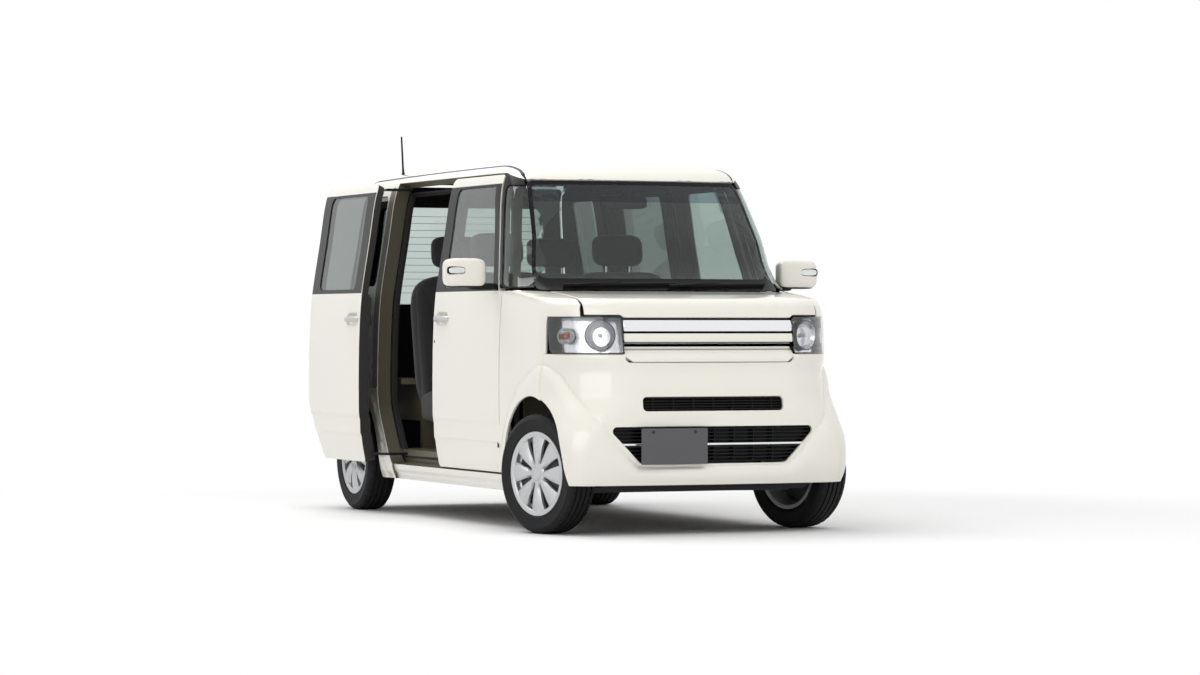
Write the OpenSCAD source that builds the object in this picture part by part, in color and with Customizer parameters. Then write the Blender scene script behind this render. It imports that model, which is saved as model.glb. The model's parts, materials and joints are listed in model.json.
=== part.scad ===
// Kei car: a tall five-door wagon with two sliding doors, the right one open.
// Millimetres. +X is forward, +Y the car's left, +Z up; the origin lies on the
// ground under the middle of the body.

/* [Overall] */
// Length of the body over its bumpers
body_length = 3395; // [3000:5:3700]
// Width of the body without its mirrors
body_width = 1475; // [1300:5:1700]
// Height of the roof above the ground
body_height = 1780; // [1500:5:1900]
// Front axle to the nose
front_overhang = 490; // [400:5:600]
// Rear axle to the tail
rear_overhang = 385; // [330:5:500]
// Distance between the wheel centres on an axle
track = 1310; // [1200:5:1400]

/* [Heights] */
// Underside of the sills
sill_bottom = 180; // [140:5:240]
// Lower edge of the doors
door_bottom = 264; // [220:2:320]
// Belt line under the side glass
belt_height = 1130; // [1000:5:1250]
// Upper edge of the side glass below the roof
glass_drop = 144; // [120:1:200]
// Upper edge of the doors below the roof
door_drop = 88; // [70:1:110]
// Upper edge of the windscreen below the roof
screen_drop = 118; // [100:1:150]
// Top of the cabin floor
floor_height = 330; // [280:5:400]
// Lower edge of the front bumper
bumper_bottom = 232; // [180:2:300]
// Split between tailgate and rear bumper
rear_split = 505; // [400:5:600]

/* [Doors] */
// Rear edge of the front doors, as a share of the half length
b_post_share = -0.0813; // [-0.15:0.0001:0.00]
// Front edge of the front doors, as a share of the half length
shut_share = 0.4595; // [0.41:0.0001:0.50]
// Window post of the front door at the belt, as a share of the half length
post_low_share = 0.4330; // [0.38:0.0001:0.46]
// Window post of the front door at its top, as a share of the half length
post_top_share = 0.3181; // [0.27:0.0001:0.38]
// Width of the window posts of the doors
post_w = 70; // [40:1:110]
// Width of the black posts at the rear of the doors
rear_post_w = 118; // [60:1:150]
// Rear edge of the sliding doors when shut, as a share of the half length
slide_rear_share = -0.5750; // [-0.62:0.0001:-0.50]
// Height of the cut corner of the sliding doors
slide_cut_z = 560; // [450:5:700]
// Length of the cut corner of the sliding doors
slide_cut_l = 180; // [100:5:260]
// How far back the open sliding door stands
slide_travel = 715; // [0:5:720]
// How far out the open sliding door stands
slide_out = 137; // [0:1:160]
// Thickness of a door
door_t = 58; // [40:1:80]
// Thickness of the window frame of a door
frame_t = 36; // [25:1:50]
// How much the rear edge of the front door leans forward at its top
frame_lean = 11; // [0:1:20]
// Gap round doors and lids
shut_gap = 8; // [6:0.5:12]
// Thickness of the side walls
wall_t = 95; // [80:1:120]
// Room for the seal behind a door
seal_gap = 20; // [12:1:24]
// Lap of the opening behind a door's edge
door_lap = 22; // [12:1:35]
// Height of the crease along the doors
crease_z = 500; // [420:1:600]
// Depth of the crease
crease_in = 5; // [2:0.5:8]
// Height of the step under the crease
step_z = 407; // [330:1:415]
// Depth of the step
step_in = 11; // [9:0.5:16]
// Corner radius of doors and windows
corner_r = 40; // [10:1:70]

/* [Glass] */
// Thickness of every pane
glass_t = 5; // [3:0.5:8]
// How deep the panes lie below the panels
glass_sink = 5; // [2:0.5:12]
// Clear gap round a pane
glass_gap = 0.4; // [0.2:0.1:0.8]
// Half width of the windscreen at its foot
screen_foot_half = 628; // [560:1:690]
// Half width of the windscreen at its head
screen_head_half = 548; // [480:1:600]

/* [Panels] */
// Thickness of outer panels
panel_t = 22; // [12:1:35]
// Half width of the roof panel
roof_half = 545; // [450:1:580]
// Upper edge of the tailgate below the roof
tailgate_drop = 72; // [60:1:84]
// Half width of the bonnet
bonnet_half = 590; // [480:1:640]
// Rear edge of the bonnet at its corners, as a share of the half length
bonnet_rear_share = 0.6409; // [0.62:0.0001:0.68]
// Rear edge of the bonnet in the middle, as a share of the half length
bonnet_rear_mid_share = 0.6810; // [0.65:0.0001:0.71]
// Lower edge of the bonnet at the nose, as a share of the belt height
bonnet_nose_share = 0.8867; // [0.84:0.0001:0.93]
// Split between wing and bumper over the arch, as a share of the half length
wing_split_share = 0.7788; // [0.74:0.0001:0.82]
// Radius of the wheel arches
arch_r = 366; // [330:1:400]
// Radius of the rear wheel arches
rear_arch_r = 340; // [310:1:370]
// Half width of the tailgate
tailgate_half = 600; // [500:1:660]
// Gap over the tailgate and behind the bonnet
lid_gap = 11; // [8:0.5:16]

/* [Front] */
// Half width of the upper grille
grille_half = 428; // [350:1:500]
// Lower edge of the upper grille, as a share of the belt height
grille_bottom_share = 0.7035; // [0.65:0.0001:0.75]
// Upper edge of the upper grille, as a share of the belt height
grille_top_share = 0.8788; // [0.84:0.0001:0.92]
// Lower edge of the headlamps, as a share of the belt height
lamp_bottom_share = 0.7381; // [0.69:0.0001:0.80]
// Upper edge of the headlamps, as a share of the belt height
lamp_top_share = 0.8903; // [0.84:0.0001:0.94]
// Rear end of the headlamps on the wings, as a share of the half length
lamp_rear_share = 0.7894; // [0.75:0.0001:0.84]
// Half width of the bumper slit
slit_half = 366; // [300:1:450]
// Lower edge of the bumper slit
slit_bottom = 573; // [540:1:620]
// Upper edge of the bumper slit
slit_top = 638; // [600:1:680]
// Half width of the lower intake at its top
intake_top_half = 547; // [450:1:620]
// Half width of the lower intake at its foot
intake_foot_half = 377; // [300:1:480]
// Lower edge of the lower intake
intake_bottom = 330; // [280:1:380]
// Upper edge of the lower intake
intake_top = 501; // [440:1:540]
// Half width of the nose between its cheeks, under the headlamps
cheek_half = 690; // [600:1:730]
// How deep the nose lies between its cheeks
cheek_in = 8; // [4:0.5:10]
// Depth of lamp bodies and grilles
lamp_depth = 90; // [60:1:130]

/* [Wheels] */
// Outer diameter of the tyres
tyre_d = 557; // [500:1:620]
// Width of the tyres
tyre_w = 155; // [120:1:185]
// Diameter of the rims under the tyres
rim_d = 355.6; // [300:0.1:400]
// Diameter of the wheel covers
cover_d = 392; // [340:1:420]
// Number of spokes
spokes = 8; // [5:1:12]
// Diameter of the stub axles
stub_d = 40; // [25:1:60]
// Running clearance of the hubs
hub_play = 0.05; // [0.02:0.01:0.1]
// Left lock of the front wheels in the photograph, in degrees
steer_at_rest = 16; // [-30:1:30]
// Steering axis inboard of the wheel centre, at its height
kingpin_inset = 75; // [50:1:100]
// Lean of the steering axis, in degrees
kingpin_lean = 12; // [6:0.5:16]
// Rise of the front wheel centres that the lean calls for
kingpin_rise = 1; // [0:0.1:3]

/* [Cabin] */
// Distance of the seats from the centre plane
seat_y = 330; // [280:1:380]
// Width of a front seat
seat_w = 500; // [420:1:540]
// Height of the seat cushions
seat_height = 640; // [550:5:720]
// Diameter of the steering wheel
steering_d = 366; // [320:1:400]
// Thickness of the steering wheel rim
steering_rim_d = 28; // [20:1:36]

/* [Mirrors and aerial] */
// How far the mirrors stand out past the body
mirror_out = 237.5; // [215:0.5:270]
// Width of a mirror shell
mirror_w = 205; // [150:1:240]
// Height of a mirror shell
mirror_h = 138; // [100:1:170]
// Depth of a mirror shell
mirror_depth = 84; // [50:1:120]
// Length of the aerial
aerial_l = 225; // [100:1:300]
// Diameter of the aerial
aerial_d = 9; // [5:0.5:14]

/* [Hidden] */
$fn = 64;
half_l = body_length / 2;
half_w = body_width / 2;
front_axle_x = half_l - front_overhang;
rear_axle_x = rear_overhang - half_l;
wheel_y = track / 2;
b_post_x = b_post_share * half_l;
shut_x = shut_share * half_l;
post_low_x = post_low_share * half_l;
post_top_x = post_top_share * half_l;
slide_rear_x = slide_rear_share * half_l;
bonnet_rear_x = bonnet_rear_share * half_l;
bonnet_rear_mid_x = bonnet_rear_mid_share * half_l;
wing_split_x = wing_split_share * half_l;
lamp_rear_x = lamp_rear_share * half_l;
lamp_bottom = lamp_bottom_share * belt_height;
lamp_top = lamp_top_share * belt_height;
grille_bottom = grille_bottom_share * belt_height;
grille_top = grille_top_share * belt_height;
bonnet_nose_z = bonnet_nose_share * belt_height;
glass_top = body_height - glass_drop;
door_top = body_height - door_drop;
screen_top = body_height - screen_drop;
tailgate_top = body_height - tailgate_drop;
mirror_reach = half_w + mirror_out;
wheel_r = tyre_d / 2;
kingpin_y = wheel_y - kingpin_inset;
reach = body_length;
fit_gap = 0.3;
// Overrun of cuts past the faces that they cut
cut_over = 60;

// Columns of the body's sections, one row a height: height, nose, set-back of the
// front corner, half width there, its radius, start of the taper, half width,
// tail, set-forward of the rear corner, half width there, its radius.
// Heights up to 1 are shares of the belt's height, and what is past 1 a share of
// the way from the belt to the roof. X are shares of the half length, widths and
// radii shares of the half width.
Z = 0; NOSE = 1; BOW = 2; CORNER = 3; CORNER_R = 4; TAPER = 5; SIDE = 6;
TAIL = 7; TAIL_BOW = 8; TAIL_CORNER = 9; TAIL_R = 10;
section_shares = [
    [0.159, 0.960, 0.027, 0.881, 0.136, 0.648, 0.927, -0.975, 0.021, 0.888, 0.136],
    [0.204, 0.983, 0.029, 0.955, 0.142, 0.648, 0.949, -0.990, 0.022, 0.919, 0.149],
    [0.292, 0.997, 0.031, 0.991, 0.160, 0.648, 0.971, -0.999, 0.022, 0.936, 0.156],
    [0.381, 1.000, 0.031, 1.000, 0.203, 0.648, 0.978, -1.000, 0.022, 0.941, 0.160],
    [0.584, 0.987, 0.031, 0.988, 0.447, 0.636, 0.983, -0.996, 0.022, 0.944, 0.160],
    [0.885, 0.944, 0.029, 0.960, 0.386, 0.613, 0.974, -0.987, 0.026, 0.932, 0.163],
    [0.934, 0.934, 0.029, 0.951, 0.380, 0.607, 0.968, -0.986, 0.027, 0.927, 0.163],
    [0.962, 0.908, 0.031, 0.944, 0.373, 0.601, 0.964, -0.984, 0.027, 0.925, 0.163],
    [0.981, 0.819, 0.035, 0.936, 0.353, 0.589, 0.961, -0.983, 0.028, 0.922, 0.163],
    [1.000, 0.663, 0.053, 0.904, 0.110, 0.501, 0.957, -0.982, 0.028, 0.918, 0.163],
    [1.415, 0.553, 0.047, 0.856, 0.104, 0.383, 0.899, -0.971, 0.029, 0.860, 0.163],
    [1.785, 0.451, 0.039, 0.804, 0.104, 0.265, 0.843, -0.956, 0.029, 0.805, 0.160],
    [1.874, 0.422, 0.035, 0.767, 0.119, 0.244, 0.812, -0.943, 0.028, 0.774, 0.156],
    [1.931, 0.375, 0.034, 0.702, 0.165, 0.212, 0.750, -0.914, 0.027, 0.713, 0.152],
    [1.977, 0.265, 0.031, 0.553, 0.163, 0.106, 0.601, -0.834, 0.025, 0.567, 0.149],
    [2.000, 0.065, 0.024, 0.285, 0.149, -0.059, 0.325, -0.624, 0.024, 0.298, 0.136],
];
// Radius of the nose and of the tail in plan, as a share of their half width
bow_share = 3;
// Radius where the taper starts, as a share of the half width
taper_share = 0.45;

paint_c = [0.90, 0.88, 0.80];
black_c = [0.10, 0.10, 0.11];
grey_c = [0.35, 0.36, 0.38];
bright_c = [0.78, 0.79, 0.80];
glass_c = [0.30, 0.36, 0.36];
lens_c = [0.85, 0.88, 0.90];
red_c = [0.65, 0.08, 0.08];
seat_c = [0.22, 0.21, 0.21];
rubber_c = [0.07, 0.07, 0.07];

// Rounded outlines: each point is [across, up, radius, steps of its arc].
function unit(v) = v / norm(v);
function pick(p, i) = p[(i + len(p)) % len(p)];
function flat(p) = [p[0], p[1]];
function fillet(before, at, after, r, steps) =
    let (a = unit(before - at), b = unit(after - at),
         half = acos(max(-1, min(1, a * b))) / 2)
    r <= 0 || half > 89.9 ? [at] :
    let (c = at + unit(a + b) * r / sin(half),
         s = at + a * r / tan(half) - c,
         e = at + b * r / tan(half) - c,
         from = atan2(s[1], s[0]),
         turn = atan2(s[0] * e[1] - s[1] * e[0], s * e))
    [for (k = [0:steps]) c + r * [cos(from + turn * k / steps), sin(from + turn * k / steps)]];
function rounded(p) = [for (i = [0:len(p) - 1])
    each fillet(flat(pick(p, i - 1)), flat(p[i]), flat(pick(p, i + 1)), p[i][2], p[i][3])];

// The same outline grown by g, for points that run anticlockwise.
function edge_normal(a, b) = let (d = unit(flat(b) - flat(a))) [d[1], -d[0]];
function turn_of(a, b, c) = let (u = flat(b) - flat(a), v = flat(c) - flat(b))
    u[0] * v[1] - u[1] * v[0];
function grown(p, g) = [for (i = [0:len(p) - 1])
    let (a = pick(p, i - 1), b = p[i], c = pick(p, i + 1),
         m = edge_normal(a, b), n = edge_normal(b, c),
         at = flat(b) + g * (m + n) / (1 + m * n))
    [at[0], at[1], max(0, turn_of(a, b, c) > 0 ? b[2] + g : b[2] - g), b[3]]];

// How far the point of a bow runs past the arc that rounds it.
function bow_lead(bow, half) = bow_share * bow * bow / half / 2;

// One plan section of the body, moved in by d.
function section(i, d) =
    let (s = section_shares[i],
         nose = s[NOSE] * half_l - d, tail = s[TAIL] * half_l + d,
         corner = s[CORNER] * half_w - d, tail_corner = s[TAIL_CORNER] * half_w - d,
         side = s[SIDE] * half_w - d, taper = s[TAPER] * half_l - d,
         bow = s[BOW] * half_l, tail_bow = s[TAIL_BOW] * half_l,
         corner_x = nose - bow, tail_x = tail + tail_bow,
         lead = bow_lead(bow, corner), trail = bow_lead(tail_bow, tail_corner),
         r = max(s[CORNER_R] * half_w - d, d), tail_r = max(s[TAIL_R] * half_w - d, d))
    rounded([
        [nose + lead, 0, corner * bow_share, 2],
        [corner_x, corner, r, 4],
        [taper, side, side * taper_share, 1],
        [tail_x, tail_corner, tail_r, 2],
        [tail - trail, 0, tail_corner * bow_share, 2],
        [tail_x, -tail_corner, tail_r, 2],
        [taper, -side, side * taper_share, 1],
        [corner_x, -corner, r, 4]]);
function level(share) = min(share, 1) * belt_height + max(share - 1, 0) * (body_height - belt_height);
function section_z(i, d) = level(section_shares[i][Z]) - (i > 0 ? d : d > 0 ? cut_over : 0);
function at_height(p, z) = [for (q = p) [q[0], q[1], z]];

module body_layer(i, d) {
    low = at_height(section(i, d), section_z(i, d));
    high = at_height(section(i + 1, d), section_z(i + 1, d));
    n = len(low);
    hull() polyhedron(concat(low, high),
        [[for (k = [0:n - 1]) k], [for (k = [len(high) - 1:-1:0]) n + k]]);
}
module envelope(d) {
    for (i = [0:len(section_shares) - 2]) body_layer(i, d);
}
module skin(outer, inner) {
    difference() {
        envelope(outer);
        envelope(inner);
    }
}

// Straight prisms of the outlines drawn below, along one axis each.
module along_x(from, to) {
    translate([from, 0, 0]) rotate([90, 0, 90]) linear_extrude(to - from) children();
}
module along_y(from, to) {
    translate([0, to, 0]) rotate([90, 0, 0]) linear_extrude(to - from) children();
}
module along_z(from, to) {
    translate([0, 0, from]) linear_extrude(to - from) children();
}
module box(low, high) {
    translate(low) cube(high - low);
}
module right_of(right) {
    mirror([0, right ? 1 : 0, 0]) children();
}
module pair() {
    children();
    mirror([0, 1, 0]) children();
}
module side_prism(p, from = roof_half + fit_gap) {
    along_y(from, reach) polygon(rounded(p));
}
module front_prism(p) {
    along_x(0, reach) polygon(rounded(p));
}
module rear_prism(p) {
    along_x(-reach, 0) polygon(rounded(p));
}

// Outlines in side view, X and Z, anticlockwise.
small_r = corner_r / 2;
post_lean = (post_low_x - post_top_x) / (door_top - belt_height);
glass_lip = 20;
window_foot = belt_height + glass_lip;
front_door_outline = [
    [b_post_x, belt_height, 0, 1],
    [b_post_x, door_bottom, small_r, 3],
    [shut_x, door_bottom, small_r, 3],
    [shut_x, belt_height, small_r / 2, 3],
    [post_low_x, belt_height, small_r / 2, 3],
    [post_top_x, door_top, small_r, 3],
    [b_post_x + frame_lean, door_top, corner_r, 3]];
front_window_outline = [
    [b_post_x + rear_post_w, window_foot, small_r, 3],
    [post_low_x - post_w - glass_lip * post_lean, window_foot, small_r, 3],
    [post_top_x - post_w + (door_top - glass_top) * post_lean, glass_top, small_r, 3],
    [b_post_x + rear_post_w, glass_top, corner_r, 3]];
slide_front_x = b_post_x - shut_gap;
slide_outline = [
    [slide_rear_x + slide_cut_l, door_bottom, small_r, 3],
    [slide_front_x, door_bottom, small_r, 3],
    [slide_front_x, door_top, corner_r, 3],
    [slide_rear_x, door_top, corner_r, 3],
    [slide_rear_x, slide_cut_z, corner_r * 2, 5]];
slide_window_outline = [
    [slide_rear_x + rear_post_w, window_foot, corner_r, 3],
    [slide_front_x - rear_post_w, window_foot, corner_r, 3],
    [slide_front_x - rear_post_w, glass_top, corner_r, 3],
    [slide_rear_x + rear_post_w, glass_top, corner_r, 3]];
pillar_foot_share = 0.5803;
pillar_foot_x = pillar_foot_share * half_l;
pillar_head_share = 0.4548;
pillar_head_x = pillar_head_share * half_l;
quarter_outline = [
    [post_low_x + glass_lip * 2, window_foot, small_r, 3],
    [pillar_foot_x, window_foot, small_r / 2, 3],
    [pillar_head_x, glass_top, small_r, 3],
    [post_top_x + glass_lip * 2 + (door_top - glass_top) * post_lean, glass_top, small_r, 3]];
rear_quarter_front_share = -0.6392;
rear_quarter_front_x = rear_quarter_front_share * half_l;
rear_quarter_rear_share = -0.8778;
rear_quarter_rear_x = rear_quarter_rear_share * half_l;
rear_quarter_outline = [
    [rear_quarter_rear_x, window_foot + glass_lip, corner_r, 3],
    [rear_quarter_front_x, window_foot + glass_lip, corner_r, 3],
    [rear_quarter_front_x, glass_top, corner_r, 3],
    [rear_quarter_rear_x, glass_top, corner_r, 3]];

// Outlines in front or rear view, Y and Z, anticlockwise.
screen_foot = belt_height + glass_sink;
screen_outline = [
    [-screen_foot_half, screen_foot, small_r, 3],
    [screen_foot_half, screen_foot, small_r, 3],
    [screen_head_half, screen_top, corner_r, 3],
    [-screen_head_half, screen_top, corner_r, 3]];
tailgate_head = body_height;
tailgate_head_half = 537;
tailgate_outline = [
    [-tailgate_half, rear_split, corner_r, 3],
    [tailgate_half, rear_split, corner_r, 3],
    [tailgate_half, belt_height, corner_r * 4, 4],
    [tailgate_head_half, tailgate_head, corner_r, 3],
    [-tailgate_head_half, tailgate_head, corner_r, 3],
    [-tailgate_half, belt_height, corner_r * 4, 4]];
rear_glass_foot_share = 0.9558;
rear_glass_foot = rear_glass_foot_share * belt_height;
rear_glass_drop = 180;
rear_glass_top = body_height - rear_glass_drop;
rear_glass_half = 500;
rear_glass_head_half = 455;
rear_glass_outline = [
    [-rear_glass_half, rear_glass_foot, corner_r, 3],
    [rear_glass_half, rear_glass_foot, corner_r, 3],
    [rear_glass_head_half, rear_glass_top, corner_r, 3],
    [-rear_glass_head_half, rear_glass_top, corner_r, 3]];
tail_lamp_bottom_share = 0.6726;
tail_lamp_bottom = tail_lamp_bottom_share * belt_height;
tail_lamp_top_share = 1.0531;
tail_lamp_top = tail_lamp_top_share * belt_height;
tail_lamp_in = tailgate_half + shut_gap;
tail_lamp_front_share = -0.9485;
tail_lamp_front_x = tail_lamp_front_share * half_l;
grille_outline = [
    [-grille_half, grille_bottom, small_r, 3],
    [grille_half, grille_bottom, small_r, 3],
    [grille_half, grille_top, small_r / 2, 3],
    [-grille_half, grille_top, small_r / 2, 3]];
slit_outline = [
    [-slit_half, slit_bottom, small_r, 3],
    [slit_half, slit_bottom, small_r, 3],
    [slit_half, slit_top, small_r, 3],
    [-slit_half, slit_top, small_r, 3]];
intake_outline = [
    [-intake_foot_half, intake_bottom, corner_r, 3],
    [intake_foot_half, intake_bottom, corner_r, 3],
    [intake_top_half, intake_top, small_r, 3],
    [-intake_top_half, intake_top, small_r, 3]];
// The nose between its cheeks, from the lower intake up to the lamps.
nose_outline = [
    [-intake_top_half, intake_top, 0, 1],
    [intake_top_half, intake_top, 0, 1],
    [cheek_half, lamp_bottom, 0, 1],
    [-cheek_half, lamp_bottom, 0, 1]];
// The lamp's outline seen from the front; it runs on round the corner.
lamp_in_y = grille_half + fit_gap;
lamp_outline = [
    [lamp_in_y, lamp_bottom, small_r, 3],
    [half_w + corner_r, lamp_bottom, small_r, 3],
    [half_w + corner_r, lamp_top, small_r, 3],
    [lamp_in_y, lamp_top, small_r, 3]];

module arch_cut(x, r) {
    translate([x, 0, wheel_r]) rotate([-90, 0, 0]) cylinder(h = reach, r = r);
}

// Floor, sills, bulkhead, wheel houses, jack pads.
floor_t = 30;
floor_half = 634;
floor_front_share = 0.5066;
floor_front_x = floor_front_share * half_l;
floor_rear_share = -0.5655;
floor_rear_x = floor_rear_share * half_l;
bulkhead_share = 0.5891;
bulkhead_x = bulkhead_share * half_l;
bulkhead_step_share = 0.6195;
bulkhead_step_z = bulkhead_step_share * belt_height;
cowl_share = 0.9469;
cowl_z = cowl_share * belt_height;
bulkhead_half = 620;
rail_in = 330;
rail_out = 390;
rail_bottom = 480;
rail_top = 570;
rail_front_share = 0.9072;
rail_front_x = rail_front_share * half_l;
apron_in = 430;
apron_out = 455;
apron_top_share = 0.7310;
apron_top = apron_top_share * belt_height;
tower_top_share = 0.8496;
tower_top = tower_top_share * belt_height;
liner_t = 8;
liner_out = 660;
rear_floor_z = 500;
rear_floor_half = 470;
rear_floor_share = -0.9219;
rear_floor_x = rear_floor_share * half_l;
house_top_share = 0.6106;
house_top = house_top_share * belt_height;
house_out = 585;
pad_l = 70;
pad_w = 40;
pad_h = 14;
pad_y = 565;
pad_front_share = 0.3770;
pad_front_x = pad_front_share * half_l;
pad_rear_share = -0.4831;
pad_rear_x = pad_rear_share * half_l;
tower_r = 60;
tower_share = 0.5912;
tower_z = tower_share * belt_height;
tower_in = 80;
tower_y = kingpin_y - tower_in;
module floor_plate(g) {
    box([floor_rear_x - floor_t - g, -floor_half - g, floor_height - floor_t - g],
        [floor_front_x - floor_t + g, floor_half + g, floor_height + g]);
}
module floor_pan() {
    color(grey_c) {
        floor_plate(0);
        box([floor_front_x - floor_t, -bulkhead_half, floor_height - floor_t],
            [floor_front_x, bulkhead_half, bulkhead_step_z]);
        box([floor_front_x - floor_t, -bulkhead_half, bulkhead_step_z - floor_t],
            [bulkhead_x, bulkhead_half, bulkhead_step_z]);
        box([bulkhead_x - floor_t, -bulkhead_half, bulkhead_step_z - floor_t],
            [bulkhead_x, bulkhead_half, cowl_z]);
        box([floor_rear_x - floor_t, -rear_floor_half, floor_height - floor_t],
            [floor_rear_x, rear_floor_half, rear_floor_z]);
        box([rear_floor_x, -rear_floor_half, rear_floor_z - floor_t],
            [floor_rear_x, rear_floor_half, rear_floor_z]);
        pair() {
            box([floor_front_x - floor_t, rail_in, rail_bottom], [rail_front_x, rail_out, rail_top]);
            box([bulkhead_x - floor_t, apron_in, bulkhead_step_z - floor_t],
                [rail_front_x, apron_out, apron_top]);
            box([front_axle_x - tower_r, apron_in, tower_z],
                [front_axle_x + tower_r, tower_y + tower_r, tower_top]);
            box([rear_floor_x, rear_floor_half - floor_t, rear_floor_z - floor_t],
                [floor_rear_x, rear_floor_half, house_top]);
            box([rear_floor_x, rear_floor_half - floor_t, house_top - floor_t],
                [floor_rear_x, house_out, house_top]);
            for (x = [pad_front_x, pad_rear_x])
                box([x - pad_l / 2, pad_y - pad_w / 2, sill_bottom],
                    [x + pad_l / 2, pad_y + pad_w / 2, floor_height - floor_t / 2]);
        }
    }
}

// Side frames: pillars, cant rail, sill and quarter panel round the openings.
sill_front_share = 0.5019;
sill_front_x = sill_front_share * half_l;
post_front_share = 0.5007;
post_front_x = post_front_share * half_l;
side_front_share = 0.6480;
side_front_x = side_front_share * half_l;
side_outline = [
    [-reach, sill_bottom, 0, 1],
    [sill_front_x, sill_bottom, 0, 1],
    [post_front_x, belt_height, 0, 1],
    [side_front_x, belt_height, 0, 1],
    [side_front_x, body_height, 0, 1],
    [-reach, body_height, 0, 1]];
wing_clear_outline = [
    [shut_x, door_bottom - shut_gap, 0, 1],
    [reach, door_bottom - shut_gap, 0, 1],
    [reach, belt_height, 0, 1],
    [shut_x, belt_height, 0, 1]];
rear_bumper_front_share = -0.9308;
rear_bumper_front_x = rear_bumper_front_share * half_l;
rear_clear_outline = [
    [-reach, 0, 0, 1],
    [rear_bumper_front_x, 0, 0, 1],
    [rear_bumper_front_x, rear_split, 0, 1],
    [-reach, rear_split, 0, 1]];
tail_lamp_outline = [
    [-reach, tail_lamp_bottom, 0, 1],
    [tail_lamp_front_x, tail_lamp_bottom, small_r, 3],
    [tail_lamp_front_x, tail_lamp_top, small_r, 3],
    [-reach, tail_lamp_top, 0, 1]];
module door_hole(p) {
    difference() {
        side_prism(grown(p, shut_gap));
        envelope(door_t + seal_gap);
    }
    side_prism(grown(p, -door_lap));
}
module body_side() {
    difference() {
        intersection() {
            skin(0, wall_t);
            side_prism(side_outline);
        }
        door_hole(front_door_outline);
        door_hole(slide_outline);
        side_prism(quarter_outline);
        side_prism(rear_quarter_outline);
        difference() {
            side_prism(wing_clear_outline);
            envelope(panel_t + fit_gap);
        }
        side_prism(rear_clear_outline);
        foot_cuts();
        side_prism(grown(tail_lamp_outline, glass_gap));
        front_prism(grown(screen_outline, glass_gap));
        rear_prism(grown(tailgate_outline, shut_gap));
        arch_cut(rear_axle_x, rear_arch_r);
        arch_cut(front_axle_x, arch_r);
        for (z = hinge_z) hinge_foot(z, fit_gap);
        floor_plate(fit_gap);
    }
}
module body_side_right() {
    color(paint_c) right_of(true) body_side();
}
module body_side_left() {
    color(paint_c) body_side();
}

header_drop = 112;
header_z = body_height - header_drop;
header_front_share = -0.8689;
header_front_x = header_front_share * half_l;
header_rear_share = -0.8966;
header_rear_x = header_rear_share * half_l;
header_half = 420;
module roof_panel() {
    color(paint_c) intersection() {
        envelope(panel_t / 2);
        box([header_rear_x, -header_half, header_z], [header_front_x, header_half, body_height]);
    }
    color(paint_c) {
        intersection() {
            skin(0, panel_t);
            union() {
                box([0, -roof_half, screen_top + glass_gap], [reach, roof_half, body_height * 2]);
                box([-reach, -roof_half, tailgate_top + lid_gap], [reach, roof_half, body_height * 2]);
            }
        }
    }
}

// Front wings, with the flare round the arch, and the bumper.
wing_outline = [
    [shut_x + shut_gap, door_bottom, 0, 1],
    [wing_split_x, door_bottom, 0, 1],
    [wing_split_x, lamp_bottom, 0, 1],
    [lamp_rear_x - fit_gap, lamp_bottom, 0, 1],
    [lamp_rear_x - fit_gap, lamp_top + fit_gap, 0, 1],
    [reach, lamp_top + fit_gap, 0, 1],
    [reach, belt_height - fit_gap, 0, 1],
    [shut_x + shut_gap, belt_height - fit_gap, 0, 1]];
module bonnet_plan() {
    polygon(rounded([
        [bonnet_rear_mid_x, 0, bonnet_half * 2, 4],
        [bonnet_rear_x, -bonnet_half, small_r, 3],
        [reach, -bonnet_half, 0, 1],
        [reach, bonnet_half, 0, 1],
        [bonnet_rear_x, bonnet_half, small_r, 3]]));
}
module wings() {
    color(paint_c) pair() difference() {
        intersection() {
            skin(0, panel_t);
            side_prism(wing_outline);
        }
        box([0, -reach, 0], [reach, bonnet_half + shut_gap, body_height]);
        front_prism(grown(screen_outline, shut_gap));
        arch_cut(front_axle_x, arch_r);
    }
}
module bonnet() {
    color(paint_c) pair() bonnet_lug();
    color(paint_c) difference() {
        intersection() {
            skin(0, panel_t);
            along_z(bonnet_nose_z, body_height) bonnet_plan();
        }
        front_prism(grown(screen_outline, lid_gap));
        pair() box([0, grille_half - shut_gap, 0], [reach, reach, lamp_top + shut_gap]);
    }
}
bumper_top = lamp_bottom - fit_gap;
bumper_outline = [
    [wing_split_x + fit_gap, bumper_bottom, 0, 1],
    [reach, bumper_bottom, 0, 1],
    [reach, bumper_top, 0, 1],
    [wing_split_x + fit_gap, bumper_top, 0, 1]];
bracket_low = 512;
bracket_high = 562;
module front_bumper() {
    color(paint_c) pair() intersection() {
        envelope(panel_t / 2);
        box([rail_front_x + fit_gap, rail_in, bracket_low], [reach, rail_out, bracket_high]);
    }
    color(paint_c) difference() {
        intersection() {
            skin(0, panel_t);
            pair() side_prism(bumper_outline, 0);
        }
        front_prism(grown(grille_outline, fit_gap));
        front_prism(slit_outline);
        front_prism(intake_outline);
        difference() {
            front_prism(nose_outline);
            envelope(cheek_in);
        }
        pair() arch_cut(front_axle_x, arch_r);
    }
}

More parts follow.
